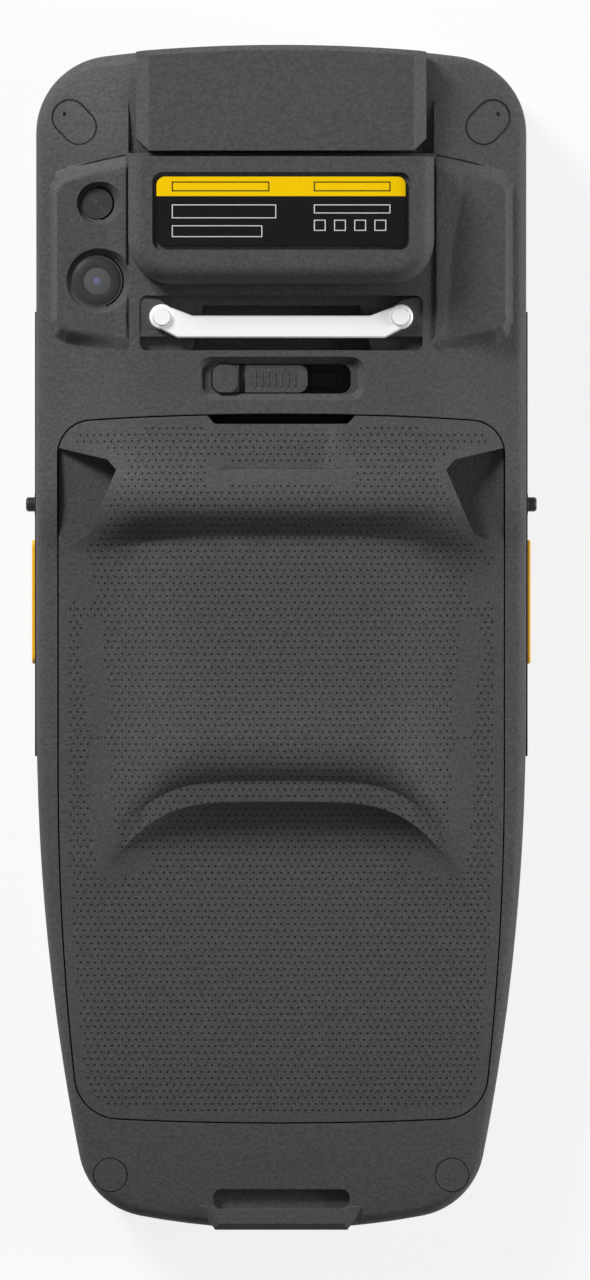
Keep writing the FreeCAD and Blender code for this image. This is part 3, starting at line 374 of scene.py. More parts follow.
def body_of_node(node: str) -> str:
    """The CAD body that holds a node."""
    return frame["nodes"][node]["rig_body"]


def skin_over(node: str, slot: Slot, *finishes: Finish, angle: float = 32.0) -> bpy.types.Object:
    """Replaces a node by a merged copy of its mesh with smooth shading.

    Args:
        node: The CAD node.
        slot: The record's slot; not used.
        finishes: The piece's finishes.
        angle: Edges sharper than this, in degrees, stay crisp.

    Returns:
        The smooth piece.
    """
    mesh = frame["nodes"][node].data.copy()
    build = bmesh.new()
    build.from_mesh(mesh)
    bmesh.ops.remove_doubles(build, verts=build.verts, dist=MERGE_MM * MM)
    build.to_mesh(mesh)
    build.free()
    if "custom_normal" in mesh.attributes:
        mesh.attributes.remove(mesh.attributes["custom_normal"])
    mesh.shade_smooth()
    mesh.set_sharp_from_angle(angle=math.radians(angle))
    piece = new_piece(f"{node}_skin", mesh, body_of_node(node))
    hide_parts(node)
    dress(piece, *finishes)
    return piece


def mesh_from(build: bmesh.types.BMesh, name: str) -> bpy.types.Mesh:
    """Turns a build into a mesh with outward faces, smooth but for its crisp edges.

    Args:
        build: The build, which is freed.
        name: The mesh's name.

    Returns:
        The mesh.
    """
    bmesh.ops.recalc_face_normals(build, faces=build.faces)
    mesh = bpy.data.meshes.new(name)
    build.to_mesh(mesh)
    build.free()
    mesh.shade_smooth()
    mesh.set_sharp_from_angle(angle=math.radians(CRISP_DEGREES))
    return mesh


def turned(
    name: str, profile: Iterable[tuple[float, float]], x: float, y: float, steps: int = 48,
) -> bpy.types.Mesh:
    """Revolves a profile of radius and height about an upright axis.

    Args:
        name: The mesh's name.
        profile: Radius and height pairs in metres, from the axis out and back to it.
        x: The axis, across.
        y: The axis, along.
        steps: How many facets go round.

    Returns:
        The closed mesh.
    """
    build = bmesh.new()
    rings = []
    for radius, height in profile:
        if radius < 1e-7:
            rings.append([build.verts.new((x, y, height))])
            continue
        angles = (2 * math.pi * i / steps for i in range(steps))
        points = ((x + radius * math.cos(a), y + radius * math.sin(a), height) for a in angles)
        rings.append([build.verts.new(point) for point in points])
    for first, second in zip(rings, rings[1:]):
        for i in range(steps):
            j = (i + 1) % steps
            corners = [first[i % len(first)], first[j % len(first)],
                       second[j % len(second)], second[i % len(second)]]
            unique = list(dict.fromkeys(corners))
            if len(unique) > 2:
                build.faces.new(unique)
    return mesh_from(build, name)


def surface_of(node: str) -> BVHTree:
    """A CAD node's surface, to find heights on it.

    Args:
        node: The CAD node.

    Returns:
        A tree that rays can be cast on, in the row frame.
    """
    build = bmesh.new()
    build.from_mesh(frame["nodes"][node].data)
    build.transform(frame["nodes"][node].matrix_world)
    tree = BVHTree.FromBMesh(build)
    build.free()
    return tree


def slab(build: bmesh.types.BMesh, low: Vector, high: Vector) -> None:
    """Adds a box between two corners to a build.

    Args:
        build: The build that takes the box.
        low: Its lower corner.
        high: Its upper corner.
    """
    made = bmesh.ops.create_cube(build, size=1.0)["verts"]
    size = high - low
    bmesh.ops.scale(build, vec=size, verts=made)
    bmesh.ops.translate(build, vec=(low + high) / 2, verts=made)


@dataclass(frozen=True)
class GripDots:
    """The staggered grip dots of the battery cover, dropped onto its skin by Geometry Nodes; their dark
    colour is painted shade of dimples.
    """

    pitch_across_mm: float = 1.0
    pitch_along_mm: float = 0.93
    radius_mm: float = 0.17
    margin_mm: float = 1.5
    drop_from_mm: float = 40.0

    def sockets(self, tree: bpy.types.NodeTree) -> Any:
        """Gives the tree its named inputs and its output.

        Args:
            tree: The new tree.

        Returns:
            The sockets of the tree's input node.
        """
        kinds = {"Object": ("Field", "Border", "Dot"), "Int": ("Columns", "Rows"), "Material": ("Finish",),
                 "Float": ("Pitch across", "Pitch along", "Middle", "Margin")}
        for kind, names in kinds.items():
            for name in names:
                tree.interface.new_socket(name, in_out="INPUT", socket_type=f"NodeSocket{kind}")
        tree.interface.new_socket("Geometry", in_out="OUTPUT", socket_type="NodeSocketGeometry")
        return add(tree, "NodeGroupInput").outputs

    def tree(self) -> bpy.types.NodeTree:
        """Builds the tree: a staggered grid, rays down to the cover, and a dot at each hit.

        Returns:
            The finished tree.
        """
        tree = bpy.data.node_groups.new("grip_dots", "GeometryNodeTree")
        given = self.sockets(tree)
        steps_across = math_node(tree, "SUBTRACT", given["Columns"], 1)
        wide = math_node(tree, "MULTIPLY", steps_across, given["Pitch across"])
        steps_along = math_node(tree, "SUBTRACT", given["Rows"], 1)
        long = math_node(tree, "MULTIPLY", steps_along, given["Pitch along"])
        grid = add(tree, "GeometryNodeMeshGrid", {
            "Size X": wide, "Size Y": long, "Vertices X": given["Columns"], "Vertices Y": given["Rows"],
        }).outputs["Mesh"]
        place = add(tree, "GeometryNodeInputPosition").outputs[0]
        along = add(tree, "ShaderNodeSeparateXYZ", {0: place}).outputs["Y"]
        row = math_node(tree, "ROUND", math_node(tree, "DIVIDE", along, given["Pitch along"]))
        odd = math_node(tree, "ABSOLUTE", math_node(tree, "MODULO", row, 2.0))
        half_pitch = math_node(tree, "MULTIPLY", given["Pitch across"], 0.5)
        shift = math_node(tree, "MULTIPLY", odd, half_pitch)
        lifted = add(tree, "ShaderNodeCombineXYZ", {
            "X": shift, "Y": given["Middle"], "Z": self.drop_from_mm * MM,
        }).outputs[0]
        points = add(tree, "GeometryNodeSetPosition", {"Geometry": grid, "Offset": lifted}).outputs[0]
        skin = add(tree, "GeometryNodeObjectInfo", {"Object": given["Field"]}).outputs["Geometry"]
        hit = add(tree, "GeometryNodeRaycast", {
            "Target Geometry": skin, "Ray Direction": (0, 0, -1), "Ray Length": 1.0,
        }).outputs
        rim = add(tree, "GeometryNodeObjectInfo", {"Object": given["Border"]}).outputs["Geometry"]
        reach = add(tree, "GeometryNodeProximity", {"Geometry": rim, "Sample Position": hit["Hit Position"]},
                    target_element="EDGES").outputs["Distance"]
        inside = math_node(tree, "GREATER_THAN", reach, given["Margin"])
        kept = math_node(tree, "MULTIPLY", hit["Is Hit"], inside)
        turn = add(tree, "FunctionNodeAlignRotationToVector", {"Vector": hit["Hit Normal"]},
                   axis="Z").outputs[0]
        holder = points
        for name, kind, value in (("kept", "FLOAT", kept), ("turn", "QUATERNION", turn)):
            store = add(tree, "GeometryNodeStoreNamedAttribute", {"Geometry": holder, "Name": name},
                        data_type=kind, domain="POINT")
            tree.links.new(value, next(s for s in store.inputs if s.name == "Value" and s.enabled))
            holder = store.outputs[0]
        landed = add(tree, "GeometryNodeSetPosition", {
            "Geometry": holder, "Position": hit["Hit Position"],
        }).outputs[0]
        self.copies(tree, given, landed)
        return tree

    def copies(self, tree: bpy.types.NodeTree, given: Any, points: Any) -> None:
        """Puts a dot on each kept point and ends the tree.

        Args:
            tree: The tree.
            given: Its input sockets.
            points: The landed points, with their stored choice and turn.
        """
        kept = add(tree, "GeometryNodeInputNamedAttribute", {"Name": "kept"}, data_type="FLOAT").outputs[0]
        turn = add(tree, "GeometryNodeInputNamedAttribute", {"Name": "turn"},
                   data_type="QUATERNION").outputs[0]
        dot = add(tree, "GeometryNodeObjectInfo", {"Object": given["Dot"]}).outputs["Geometry"]
        made = add(tree, "GeometryNodeInstanceOnPoints", {
            "Points": points, "Instance": dot, "Selection": kept, "Rotation": turn,
        }).outputs[0]
        real = add(tree, "GeometryNodeRealizeInstances", {"Geometry": made}).outputs[0]
        dressed = add(tree, "GeometryNodeSetMaterial", {
            "Geometry": real, "Material": given["Finish"],
        }).outputs[0]
        add(tree, "NodeGroupOutput", {"Geometry": dressed})


def run_tree(name: str, tree: bpy.types.NodeTree, values: dict[str, Any]) -> bpy.types.Mesh:
    """Runs a Geometry Nodes tree once and keeps its result as a plain mesh.

    Args:
        name: The new mesh's name.
        tree: The tree.
        values: Input name to value.

    Returns:
        The evaluated mesh.
    """
    holder = bpy.data.objects.new(f"{name}_holder", bpy.data.meshes.new(f"{name}_holder"))
    bpy.context.scene.collection.objects.link(holder)
    modifier = holder.modifiers.new("nodes", "NODES")
    modifier.node_group = tree
    for item in tree.interface.items_tree:
        if item.in_out == "INPUT" and item.name in values:
            modifier[item.identifier] = values[item.name]
    bpy.context.view_layer.update()
    graph = bpy.context.evaluated_depsgraph_get()
    mesh = bpy.data.meshes.new_from_object(holder.evaluated_get(graph))
    mesh.name = name
    bpy.data.objects.remove(holder)
    return mesh


def scratch(name: str, mesh: bpy.types.Mesh) -> bpy.types.Object:
    """Links a mesh that only helps to make another one.

    Args:
        name: The object's name.
        mesh: Its mesh.

    Returns:
        The object, which its user removes.
    """
    made = bpy.data.objects.new(name, mesh)
    bpy.context.scene.collection.objects.link(made)
    return made


@dataclass
class BatteryCover:
    """The battery cover with its grip dots."""

    dots: GripDots = GripDots()
    steepest: float = 0.3
    notch_floor_mm: float = 14.2
    notch_inner_mm: float = 20.0

    def build(self) -> None:
        """Makes the skin and drops the dots on it."""
        skin = skin_over("battery_cover", Slot.COVER, COVER, angle=28)
        low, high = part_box("battery_cover")
        dots = self.dots
        radius = dots.radius_mm * MM
        shape = turned("dot_shape", [(0, 0.05 * MM), (radius * 0.7, 0.04 * MM), (radius, 0.0)], 0, 0, 8)
        helpers = [*self.field(skin), scratch("dot_shape", shape)]
        # The dots are tiny bumps in painted shade, standing in for the shade in the cover's dimples.
        mesh = run_tree("grip_dots", dots.tree(), {
            "Field": helpers[0], "Border": helpers[1], "Dot": helpers[2], "Finish": WARDROBE.get(PAINTED_DIMPLE_SHADE),
            "Columns": self.odd((high.x - low.x) / MM / dots.pitch_across_mm),
            "Rows": self.odd((high.y - low.y) / MM / dots.pitch_along_mm),
            "Pitch across": dots.pitch_across_mm * MM, "Pitch along": dots.pitch_along_mm * MM,
            "Middle": (high.y + low.y) / 2, "Margin": dots.margin_mm * MM,
        })
        for helper in helpers:
            bpy.data.objects.remove(helper)
        new_piece("battery_cover_grip_dots", mesh, "battery_cover")

    def odd(self, count: float) -> int:
        """The odd number below a count."""
        return int(count) - 1 + int(count) % 2

    def in_notch(self, face: bmesh.types.BMFace) -> bool:
        """Whether a face is the flat floor of a grip notch."""
        middle = face.calc_center_median() / MM
        return abs(middle.x) > self.notch_inner_mm and abs(middle.z - self.notch_floor_mm) < 0.02

    def field(self, skin: bpy.types.Object) -> tuple[bpy.types.Object, bpy.types.Object]:
        """The part of the skin that takes dots, and the line round it.

        Args:
            skin: The cover's smooth piece.

        Returns:
            Two scratch objects: the dotted faces, and their border's edges.
        """
        build = bmesh.new()
        build.from_mesh(skin.data)
        bare = [face for face in build.faces if face.normal.z < self.steepest or self.in_notch(face)]
        bmesh.ops.delete(build, geom=bare, context="FACES")
        dotted = bpy.data.meshes.new("dot_field")
        build.to_mesh(dotted)
        inner = [edge for edge in build.edges if not edge.is_boundary]
        bmesh.ops.delete(build, geom=build.faces[:], context="FACES_ONLY")
        bmesh.ops.delete(build, geom=[edge for edge in inner if edge.is_valid], context="EDGES")
        border = bpy.data.meshes.new("dot_border")
        build.to_mesh(border)
        build.free()
        return scratch("dot_field", dotted), scratch("dot_border", border)


@dataclass
class Housing:
    """The shells, caps and grip strips that only need their finish."""

    shells: tuple[str, ...] = ("rear_housing", "front_housing", "scanner_cap")
    rubbers: tuple[str, ...] = ("usb_cover", "upper_screw_caps", "lower_screw_caps", "left_side_rail",
                                "right_side_rail", "cover_seal")

    def build(self) -> None:
        """Dresses the shells and the rubber parts."""
        for node in self.shells:
            skin_over(node, Slot.HOUSING, HOUSING)
        for node in self.rubbers:
            finish = HOUSING if "caps" in node else RUBBER
            skin_over(node, Slot.RUBBER, finish)


def tube(build: bmesh.types.BMesh, line: list[Vector], radius: float) -> None:
    """Adds a thin closed-ended tube of diamond section along a line to a build.

    Args:
        build: The build that takes the tube.
        line: The points; where the last one is the first one again, the tube is a ring.
        radius: Half the tube's width.
    """
    ring = line[0] == line[-1]
    points = line[:-1] if ring else line
    last = len(points) - 1
    rows = []
    for index, point in enumerate(points):
        before = points[index - 1] if ring or index else point
        after = points[(index + 1) % len(points)] if ring or index < last else point
        side = (after - before).cross(Vector((0, 0, 1))).normalized() * radius
        rise = Vector((0, 0, radius))
        rows.append([build.verts.new(point + step) for step in (side, rise, -side, -rise)])
    pairs = list(zip(rows, rows[1:] + rows[:1]) if ring else zip(rows, rows[1:]))
    for first, second in pairs:
        for i in range(4):
            j = (i + 1) % 4
            build.faces.new((first[i], first[j], second[j], second[i]))
    if not ring:
        build.faces.new(rows[0][::-1])
        build.faces.new(rows[-1])


@dataclass
class Decks:
    """The two raised decks beside the hump, with the lens seats cut into the left one.

    Sizes are in millimetres, for the right-hand deck; the left one is its mirror image.
    The slopes are widths beyond the crown; fall is the crown's drop per millimetre outwards.
    """

    crown: tuple[tuple[float, float], ...] = ((22.4, 43.5), (30.8, 44.8), (31.8, 45.3), (32.3, 46.3),
                                              (32.3, 64.6), (31.6, 65.6), (30.4, 66.1), (22.4, 67.6))
    seam: tuple[tuple[float, float], ...] = ((22.6, 69.75), (26.0, 69.1), (29.4, 68.3), (31.4, 67.5),
                                             (32.5, 66.6), (33.2, 65.4))
    seam_shade_radius: float = 0.13
    low_slope: float = 2.4
    side_slope: float = 1.2
    top_slope: float = 2.6
    inner_slope: float = 0.35
    inner_height: float = 18.3
    fall: float = 0.12
    least: float = 0.55
    cell: float = 0.25
    corner: tuple[float, float] = (21.6, 41.0)
    reach: tuple[float, float] = (12.6, 30.0)
    sink: float = 0.05
    depth: float = 0.5
    seats: tuple[tuple[str, float], ...] = (("camera_glass", 4.13), ("flash_lens", 2.53))
    seat_spread: float = 0.48
    seat_reach: float = 6.0
    seat_play: float = 0.04

    def build(self) -> None:
        """Makes the decks, their lens seats and thin dark lines of painted shade along their upper ends."""
        self.back = surface_of("rear_housing")
        solid, shade_lines = bmesh.new(), bmesh.new()
        for side in (-1, 1):
            self.sheet(solid, side)
            line = [Vector((side * x, y, 0)) * MM + Vector((0, 0, self.base(x, y))) for x, y in self.seam]
            tube(shade_lines, line, self.seam_shade_radius * MM)
        body = body_of_node("rear_housing")
        decks = new_piece("lens_decks", mesh_from(solid, "lens_decks"), body)
        for node, radius in self.seats:
            self.cut_seat(decks, node, radius)
        decks.data.set_sharp_from_angle(angle=math.radians(CRISP_DEGREES))
        dress(decks, HOUSING)
        # Painted shade: a thin dark tube along each deck's upper border, where a groove's shade falls.
        dress(new_piece("deck_seams", mesh_from(shade_lines, "deck_seams"), body), PAINTED_DIMPLE_SHADE)

    def base(self, x: float, y: float) -> float:
        """The back's height beside the hump, in metres; the right side has no holes."""
        start = Vector((max(x, self.crown[0][0]), y, ABOVE_MM)) * MM
        return self.back.ray_cast(start, DOWN)[0].z

    def share(self, x: float, y: float) -> float:
        """How much of the deck's height stands at a point.

        Args:
            x: The point, across, in millimetres.
            y: The point, along, in millimetres.

        Returns:
            1 on the crown, 0 past the slopes, and a smooth curve between them.
        """
        point = Vector((x, y))
        corners = [Vector(corner) for corner in self.crown]
        nearest, inside = None, True
        for first, second in zip(corners, corners[1:] + corners[:1]):
            along = second - first
            place = first + along * min(max((point - first).dot(along) / along.length_squared, 0), 1)
            if along.cross(point - first) < 0:
                inside = False
            if nearest is None or (point - place).length < (point - nearest).length:
                nearest = place
        away = point - nearest
        if inside or away.length < 1e-6:
            return 1.0
        wide = self.inner_slope if away.x < 0 else self.side_slope
        long = self.top_slope if away.y > 0 else self.low_slope
        slope = (wide * away.x ** 2 + long * away.y ** 2) / away.length_squared
        part = min(away.length / slope, 1.0)
        return 1 - part * part * (3 - 2 * part)

    def sheet(self, build: bmesh.types.BMesh, side: int) -> None:
        """Adds one deck as a closed sheet that is draped over the back.

        Args:
            build: The build that takes the sheet.
            side: 1 for the right deck, -1 for the left one.
        """
        columns, rows = (int(length / self.cell) for length in self.reach)
        tops: dict[tuple[int, int], Any] = {}
        lows: dict[tuple[int, int], Any] = {}
        shares = {}
        for i in range(columns + 1):
            for j in range(rows + 1):
                x, y = self.corner[0] + i * self.cell, self.corner[1] + j * self.cell
                share, base = self.share(x, y), self.base(x, y)
                level = (self.inner_height - self.fall * (x - self.crown[0][0])) * MM
                lift = max(level - base, self.least * MM)
                flat = Vector((side * x * MM, y * MM, 0))
                shares[i, j] = share
                tops[i, j] = build.verts.new(flat + Vector((0, 0, base + lift * share - self.sink * MM)))
                lows[i, j] = build.verts.new(flat + Vector((0, 0, base - self.depth * MM)))
        kept = {(i, j) for i in range(columns) for j in range(rows)
                if max(shares[i, j], shares[i + 1, j], shares[i, j + 1], shares[i + 1, j + 1]) > 0}
        for i, j in kept:
            ring = ((i, j), (i + 1, j), (i + 1, j + 1), (i, j + 1))
            build.faces.new([tops[k] for k in ring])
            build.faces.new([lows[k] for k in reversed(ring)])
            beyond = ((i, j - 1), (i + 1, j), (i, j + 1), (i - 1, j))
            for a, b, neighbour in zip(ring, ring[1:] + ring[:1], beyond):
                if neighbour not in kept:
                    build.faces.new((tops[b], tops[a], lows[a], lows[b]))
        bmesh.ops.delete(build, geom=[v for v in build.verts if not v.link_faces], context="VERTS")

    def cut_seat(self, decks: bpy.types.Object, node: str, radius: float) -> None:
        """Cuts a conical seat over a lens out of the decks.

        Args:
            decks: The decks' piece.
            node: The lens node in the seat.
            radius: The seat's radius at the lens, in millimetres.
        """
        low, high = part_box(node)
        bore = (high.x - low.x) / 2 + self.seat_play * MM
        rise, foot = self.seat_reach * MM, high.z + 0.01 * MM
        profile = [(0, high.z - rise), (bore, high.z - rise), (bore, high.z), (radius * MM, foot),
                   (radius * MM + rise * self.seat_spread, high.z + rise), (0, high.z + rise)]
        cutter = scratch("seat", turned("seat", profile, (low.x + high.x) / 2, (low.y + high.y) / 2, 72))
        cut = decks.modifiers.new("seat", "BOOLEAN")
        cut.operation, cut.solver, cut.object = "DIFFERENCE", "EXACT", cutter
        bpy.context.view_layer.update()
        mesh = bpy.data.meshes.new_from_object(decks.evaluated_get(bpy.context.evaluated_depsgraph_get()))
        decks.modifiers.clear()
        decks.data = mesh
        bpy.data.objects.remove(cutter)


@dataclass
class CapGaps:
    """Painted shade round the upper screw caps: dark lines where the gaps' shade falls, and dark dots for
    the shade of the notches where they are pried out.
    """

    radius_mm: float = 0.13
    dot_mm: tuple[float, float, float] = (31.3, 75.9, 0.32)
    dot_depth: float = 0.3
    least_corners: int = 8

    def build(self) -> None:
        """Makes both pieces."""
        caps = surface_of("upper_screw_caps")
        build = bmesh.new()
        build.from_mesh(frame["nodes"]["upper_screw_caps"].data)
        bmesh.ops.remove_doubles(build, verts=build.verts, dist=MERGE_MM * MM)
        rims = [edge for edge in build.edges
                if len(edge.link_faces) == 2 and max(f.normal.z for f in edge.link_faces) > 0.5
                and abs(min(f.normal.z for f in edge.link_faces)) < 0.3]
        lines = bmesh.new()
        for loop in self.loops(rims):
            tube(lines, loop, self.radius_mm * MM)
        build.free()
        body = body_of_node("upper_screw_caps")
        # Painted shade: thin black tubes round each cap's rim, where the gap's shade falls.
        dress(new_piece("screw_cap_gaps", mesh_from(lines, "screw_cap_gaps"), body), BLACK)
        # Painted shade: flattened dark dots standing in for the shade of the pry notches.
        x, y, radius = self.dot_mm
        dots = bmesh.new()
        for side in (-1, 1):
            hit = caps.ray_cast(Vector((side * x, y, ABOVE_MM)) * MM, DOWN)[0]
            made = bmesh.ops.create_uvsphere(dots, u_segments=16, v_segments=8, radius=radius * MM)["verts"]
            bmesh.ops.scale(dots, vec=(1, 1, self.dot_depth), verts=made)
            bmesh.ops.translate(dots, vec=hit, verts=made)
        dress(new_piece("screw_cap_dots", mesh_from(dots, "screw_cap_dots"), body), PAINTED_DIMPLE_SHADE)

    def loops(self, edges: list[bmesh.types.BMEdge]) -> list[list[Vector]]:
        """Walks rim edges into closed lines of points.

        Args:
            edges: The rim edges.

        Returns:
            One list of points for each closed rim, its first point again at its end.
        """
        links: dict[Any, list[Any]] = {}
        for edge in edges:
            first, second = edge.verts
            links.setdefault(first, []).append(second)
            links.setdefault(second, []).append(first)
        found = []
        while links:
            walk = [next(iter(links))]
            while onward := [vert for vert in links.pop(walk[-1]) if vert in links]:
                walk.append(onward[0])
            found.append([vert.co.copy() for vert in [*walk, walk[0]]])
        return [line for line in found if len(line) > self.least_corners]


@dataclass
class Keys:
    """The side scan keys, the studs and the front keys."""

    def build(self) -> None:
        """Dresses each key."""
        for node in sorted(frame["nodes"]):
            if node.endswith("scan_key") or node == "key_scan":
                skin_over(node, Slot.YELLOW, YELLOW)
            elif node.startswith("key_row"):
                skin_over(node, Slot.KEYS, KEYS)
            elif node.endswith("side_stud"):
                skin_over(node, Slot.STUD, STUD)


@dataclass
class StrapBar:
    """The white steel bar with its two screws."""

    def build(self) -> None:
        """Dresses the bar and its screws."""
        skin_over("strap_bar", Slot.BAR, BAR)
        skin_over("strap_screws", Slot.SCREW, BAR)


@dataclass
class Latch:
    """The latch slider with plain grip ridges where a word is moulded."""

    ridges: int = 7
    ridge_mm: tuple[float, float, float] = (0.28, 2.2, 0.1)
    pitch_mm: float = 0.95
    first_mm: float = 6.0
    tongue_drop_mm: float = 0.7
    root_mm: float = 0.05

    def build(self) -> None:
        """Dresses the latch and adds its ridges."""
        skin_over("latch_slider", Slot.HOUSING, HOUSING)
        low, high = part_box("latch_slider")
        top = high.z - self.tongue_drop_mm * MM
        build = bmesh.new()
        first = low.x + self.first_mm * MM
        wide, long, tall = (v * MM for v in self.ridge_mm)
        middle = (low.y + high.y) / 2
        for index in range(self.ridges):
            x = first + index * self.pitch_mm * MM
            slab(build, Vector((x, middle - long / 2, top - self.root_mm * MM)),
                 Vector((x + wide, middle + long / 2, top + tall)))
        piece = new_piece("latch_grip_ridges", mesh_from(build, "latch_ridges"), "latch")
        dress(piece, HOUSING)


@dataclass
class Label:
    """The label plate: a yellow band over black film, with blank fields."""

    band_mm: float = 2.8
    film_mm: float = 0.03
    line_mm: float = 0.14
    margin_mm: float = 2.2
    left_white: tuple[tuple[float, float, float], ...] = ((15.0, -3.2, -1.2), (13.0, -5.9, -4.2))
    right_white: tuple[float, float, float] = (11.0, -2.5, -1.2)
    band_heights: tuple[float, float] = (0.7, 2.1)
    band_left: float = 14.0
    boxes: int = 4
    box_pitch: float = 2.9
    box: tuple[float, float, float] = (1.7, -5.0, -3.4)

    def build(self) -> None:
        """Makes the film's two colours and its blank fields."""
        plate = skin_over("label_plate", Slot.LABEL, FILM_BLACK)
        low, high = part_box("label_plate")
        build = bmesh.new()
        build.from_mesh(plate.data)
        seam = high.y - self.band_mm * MM
        bmesh.ops.bisect_plane(build, geom=build.verts[:] + build.edges[:] + build.faces[:],
                               plane_co=(0, seam, 0), plane_no=(0, 1, 0))
        build.to_mesh(plate.data)
        build.free()
        dress(plate, FILM_BLACK, FILM_YELLOW)
        for face in plate.data.polygons:
            face.material_index = 1 if face.center.y > seam else 0
        self.fields(low, high, seam)

    def fields(self, low: Vector, high: Vector, seam: float) -> None:
        """Adds the outlines of blank fields, white on the black film and black on the band.

        Args:
            low: The plate's lower corner.
            high: The plate's upper corner.
            seam: Where the band meets the black film, along.
        """
        white, black = bmesh.new(), bmesh.new()
        left, right = low.x + self.margin_mm * MM, high.x - self.margin_mm * MM
        for wide, bottom, top in self.left_white:
            self.outline(white, left, seam + bottom * MM, wide, top - bottom, high.z)
        wide, bottom, top = self.right_white
        start = right - wide * MM
        self.outline(white, start, seam + bottom * MM, wide, top - bottom, high.z)
        bottom, top = self.band_heights
        self.outline(black, left, seam + bottom * MM, self.band_left, top - bottom, high.z)
        self.outline(black, start, seam + bottom * MM, wide, top - bottom, high.z)
        wide, bottom, top = self.box
        for index in range(self.boxes):
            x = start + index * self.box_pitch * MM
            self.outline(white, x, seam + bottom * MM, wide, top - bottom, high.z)
        for name, build, finish in (("label_white_fields", white, FILM_WHITE),
                                    ("label_black_fields", black, FILM_BLACK)):
            dress(new_piece(name, mesh_from(build, name), "housing"), finish)

    def outline(
        self, build: bmesh.types.BMesh, x0: float, y0: float, wide_mm: float, long_mm: float, top: float,
    ) -> None:
        """Adds a thin rectangular outline.

        Args:
            build: The build that takes it.
            x0: Its left border, in metres.
            y0: Its lower border, in metres.
            wide_mm: Its width.
            long_mm: Its height on the label.
            top: The film's face, in metres.
        """
        line = self.line_mm * MM
        x1, y1 = x0 + wide_mm * MM, y0 + long_mm * MM
        low, high = top - 0.01 * MM, top + self.film_mm * MM
        for a, b, c, d in ((x0, y0, x1, y0 + line), (x0, y1 - line, x1, y1),
                           (x0, y0 + line, x0 + line, y1 - line), (x1 - line, y0 + line, x1, y1 - line)):
            slab(build, Vector((a, b, low)), Vector((c, d, high)))


@dataclass
class Optics:
    """The camera, the flash and the scan window.

    Each profile gives radius and height over the glass, in millimetres.
    """

    barrel: tuple[tuple[float, float], ...] = ((2.0, 0.0), (2.0, 0.08), (2.15, 0.1), (3.3, 0.1), (3.45, 0.0))
    dome: tuple[tuple[float, float], ...] = ((0.0, 0.12), (0.9, 0.1), (1.6, 0.04), (1.9, 0.0))
    pupil: tuple[tuple[float, float], ...] = ((0.0, 0.16), (0.35, 0.15), (0.5, 0.1))
    ring_first: float = 0.35
    ring_pitch: float = 0.3
    ring_flank: float = 0.12
    ring_heights: tuple[float, float] = (0.1, 0.01)
    ring_end: float = 2.25

    def build(self) -> None:
        """Dresses the glasses and adds the rings on them."""
        skin_over("camera_glass", Slot.GLASS, GLASS)
        skin_over("scan_window", Slot.GLASS, GLASS)
        skin_over("flash_lens", Slot.LENS, FLASH)
        self.turn_on("camera_glass", "camera_barrel_ring", self.barrel, 64, BARREL)
        self.turn_on("camera_glass", "camera_lens_dome", self.dome, 64, LENS_RING)
        self.turn_on("camera_glass", "camera_pupil", self.pupil, 32, LENS_BLUE)
        self.turn_on("flash_lens", "flash_lens_rings", self.rings(), 48, FLASH)

    def turn_on(self, node: str, name: str, profile: Iterable[tuple[float, float]], steps: int,
                finish: Finish) -> None:
        """Turns a profile on a lens.

        Args:
            node: The lens node.
            name: The new piece's name.
            profile: Radius and height over the lens, in millimetres.
            steps: How many facets go round.
            finish: The piece's finish.
        """
        low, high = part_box(node)
        raised = [(radius * MM, high.z + height * MM) for radius, height in profile]
        mesh = turned(name, raised, (low.x + high.x) / 2, (low.y + high.y) / 2, steps)
        dress(new_piece(name, mesh, "housing"), finish)

    def rings(self) -> list[tuple[float, float]]:
        """The profile of the flash lens with its stepped rings.

        Returns:
            Radius and height over the lens, in millimetres, from the axis out.
        """
        crest, foot = self.ring_heights
        profile = [(0.0, crest)]
        radius = self.ring_first
        while radius < self.ring_end - self.ring_flank / 2:
            profile += [(radius, crest), (radius + self.ring_flank, foot)]
            radius += self.ring_pitch
        return profile + [(self.ring_end, 0.0)]


@dataclass
class Inside:
    """The pieces under the cover and inside the shells."""

    finishes: dict[str, Finish] = field(default_factory=lambda: {
        "battery_pack": SLEEVE, "battery_contacts": GOLD, "main_board": BOARD, "keypad_board": BOARD,
        "display_glass": GLASS, "lcd_module": BLACK, "keypad_mat": RUBBER, "scan_engine": BLACK,
        "camera_module": BLACK, "flash_led": FILM_YELLOW, "side_switches": SCREW, "latch_bolt": HOUSING,
        "latch_detent": BLACK, "usb_socket": SCREW, "speaker": BLACK, "vibration_motor": SCREW,
        "housing_screws": SCREW,
    })

    def build(self) -> None:
        """Dresses the CAD nodes that stay as they are."""
        for node, finish in self.finishes.items():
            dress(frame["nodes"][node], finish)
            LOG.info("dressed %s", node)


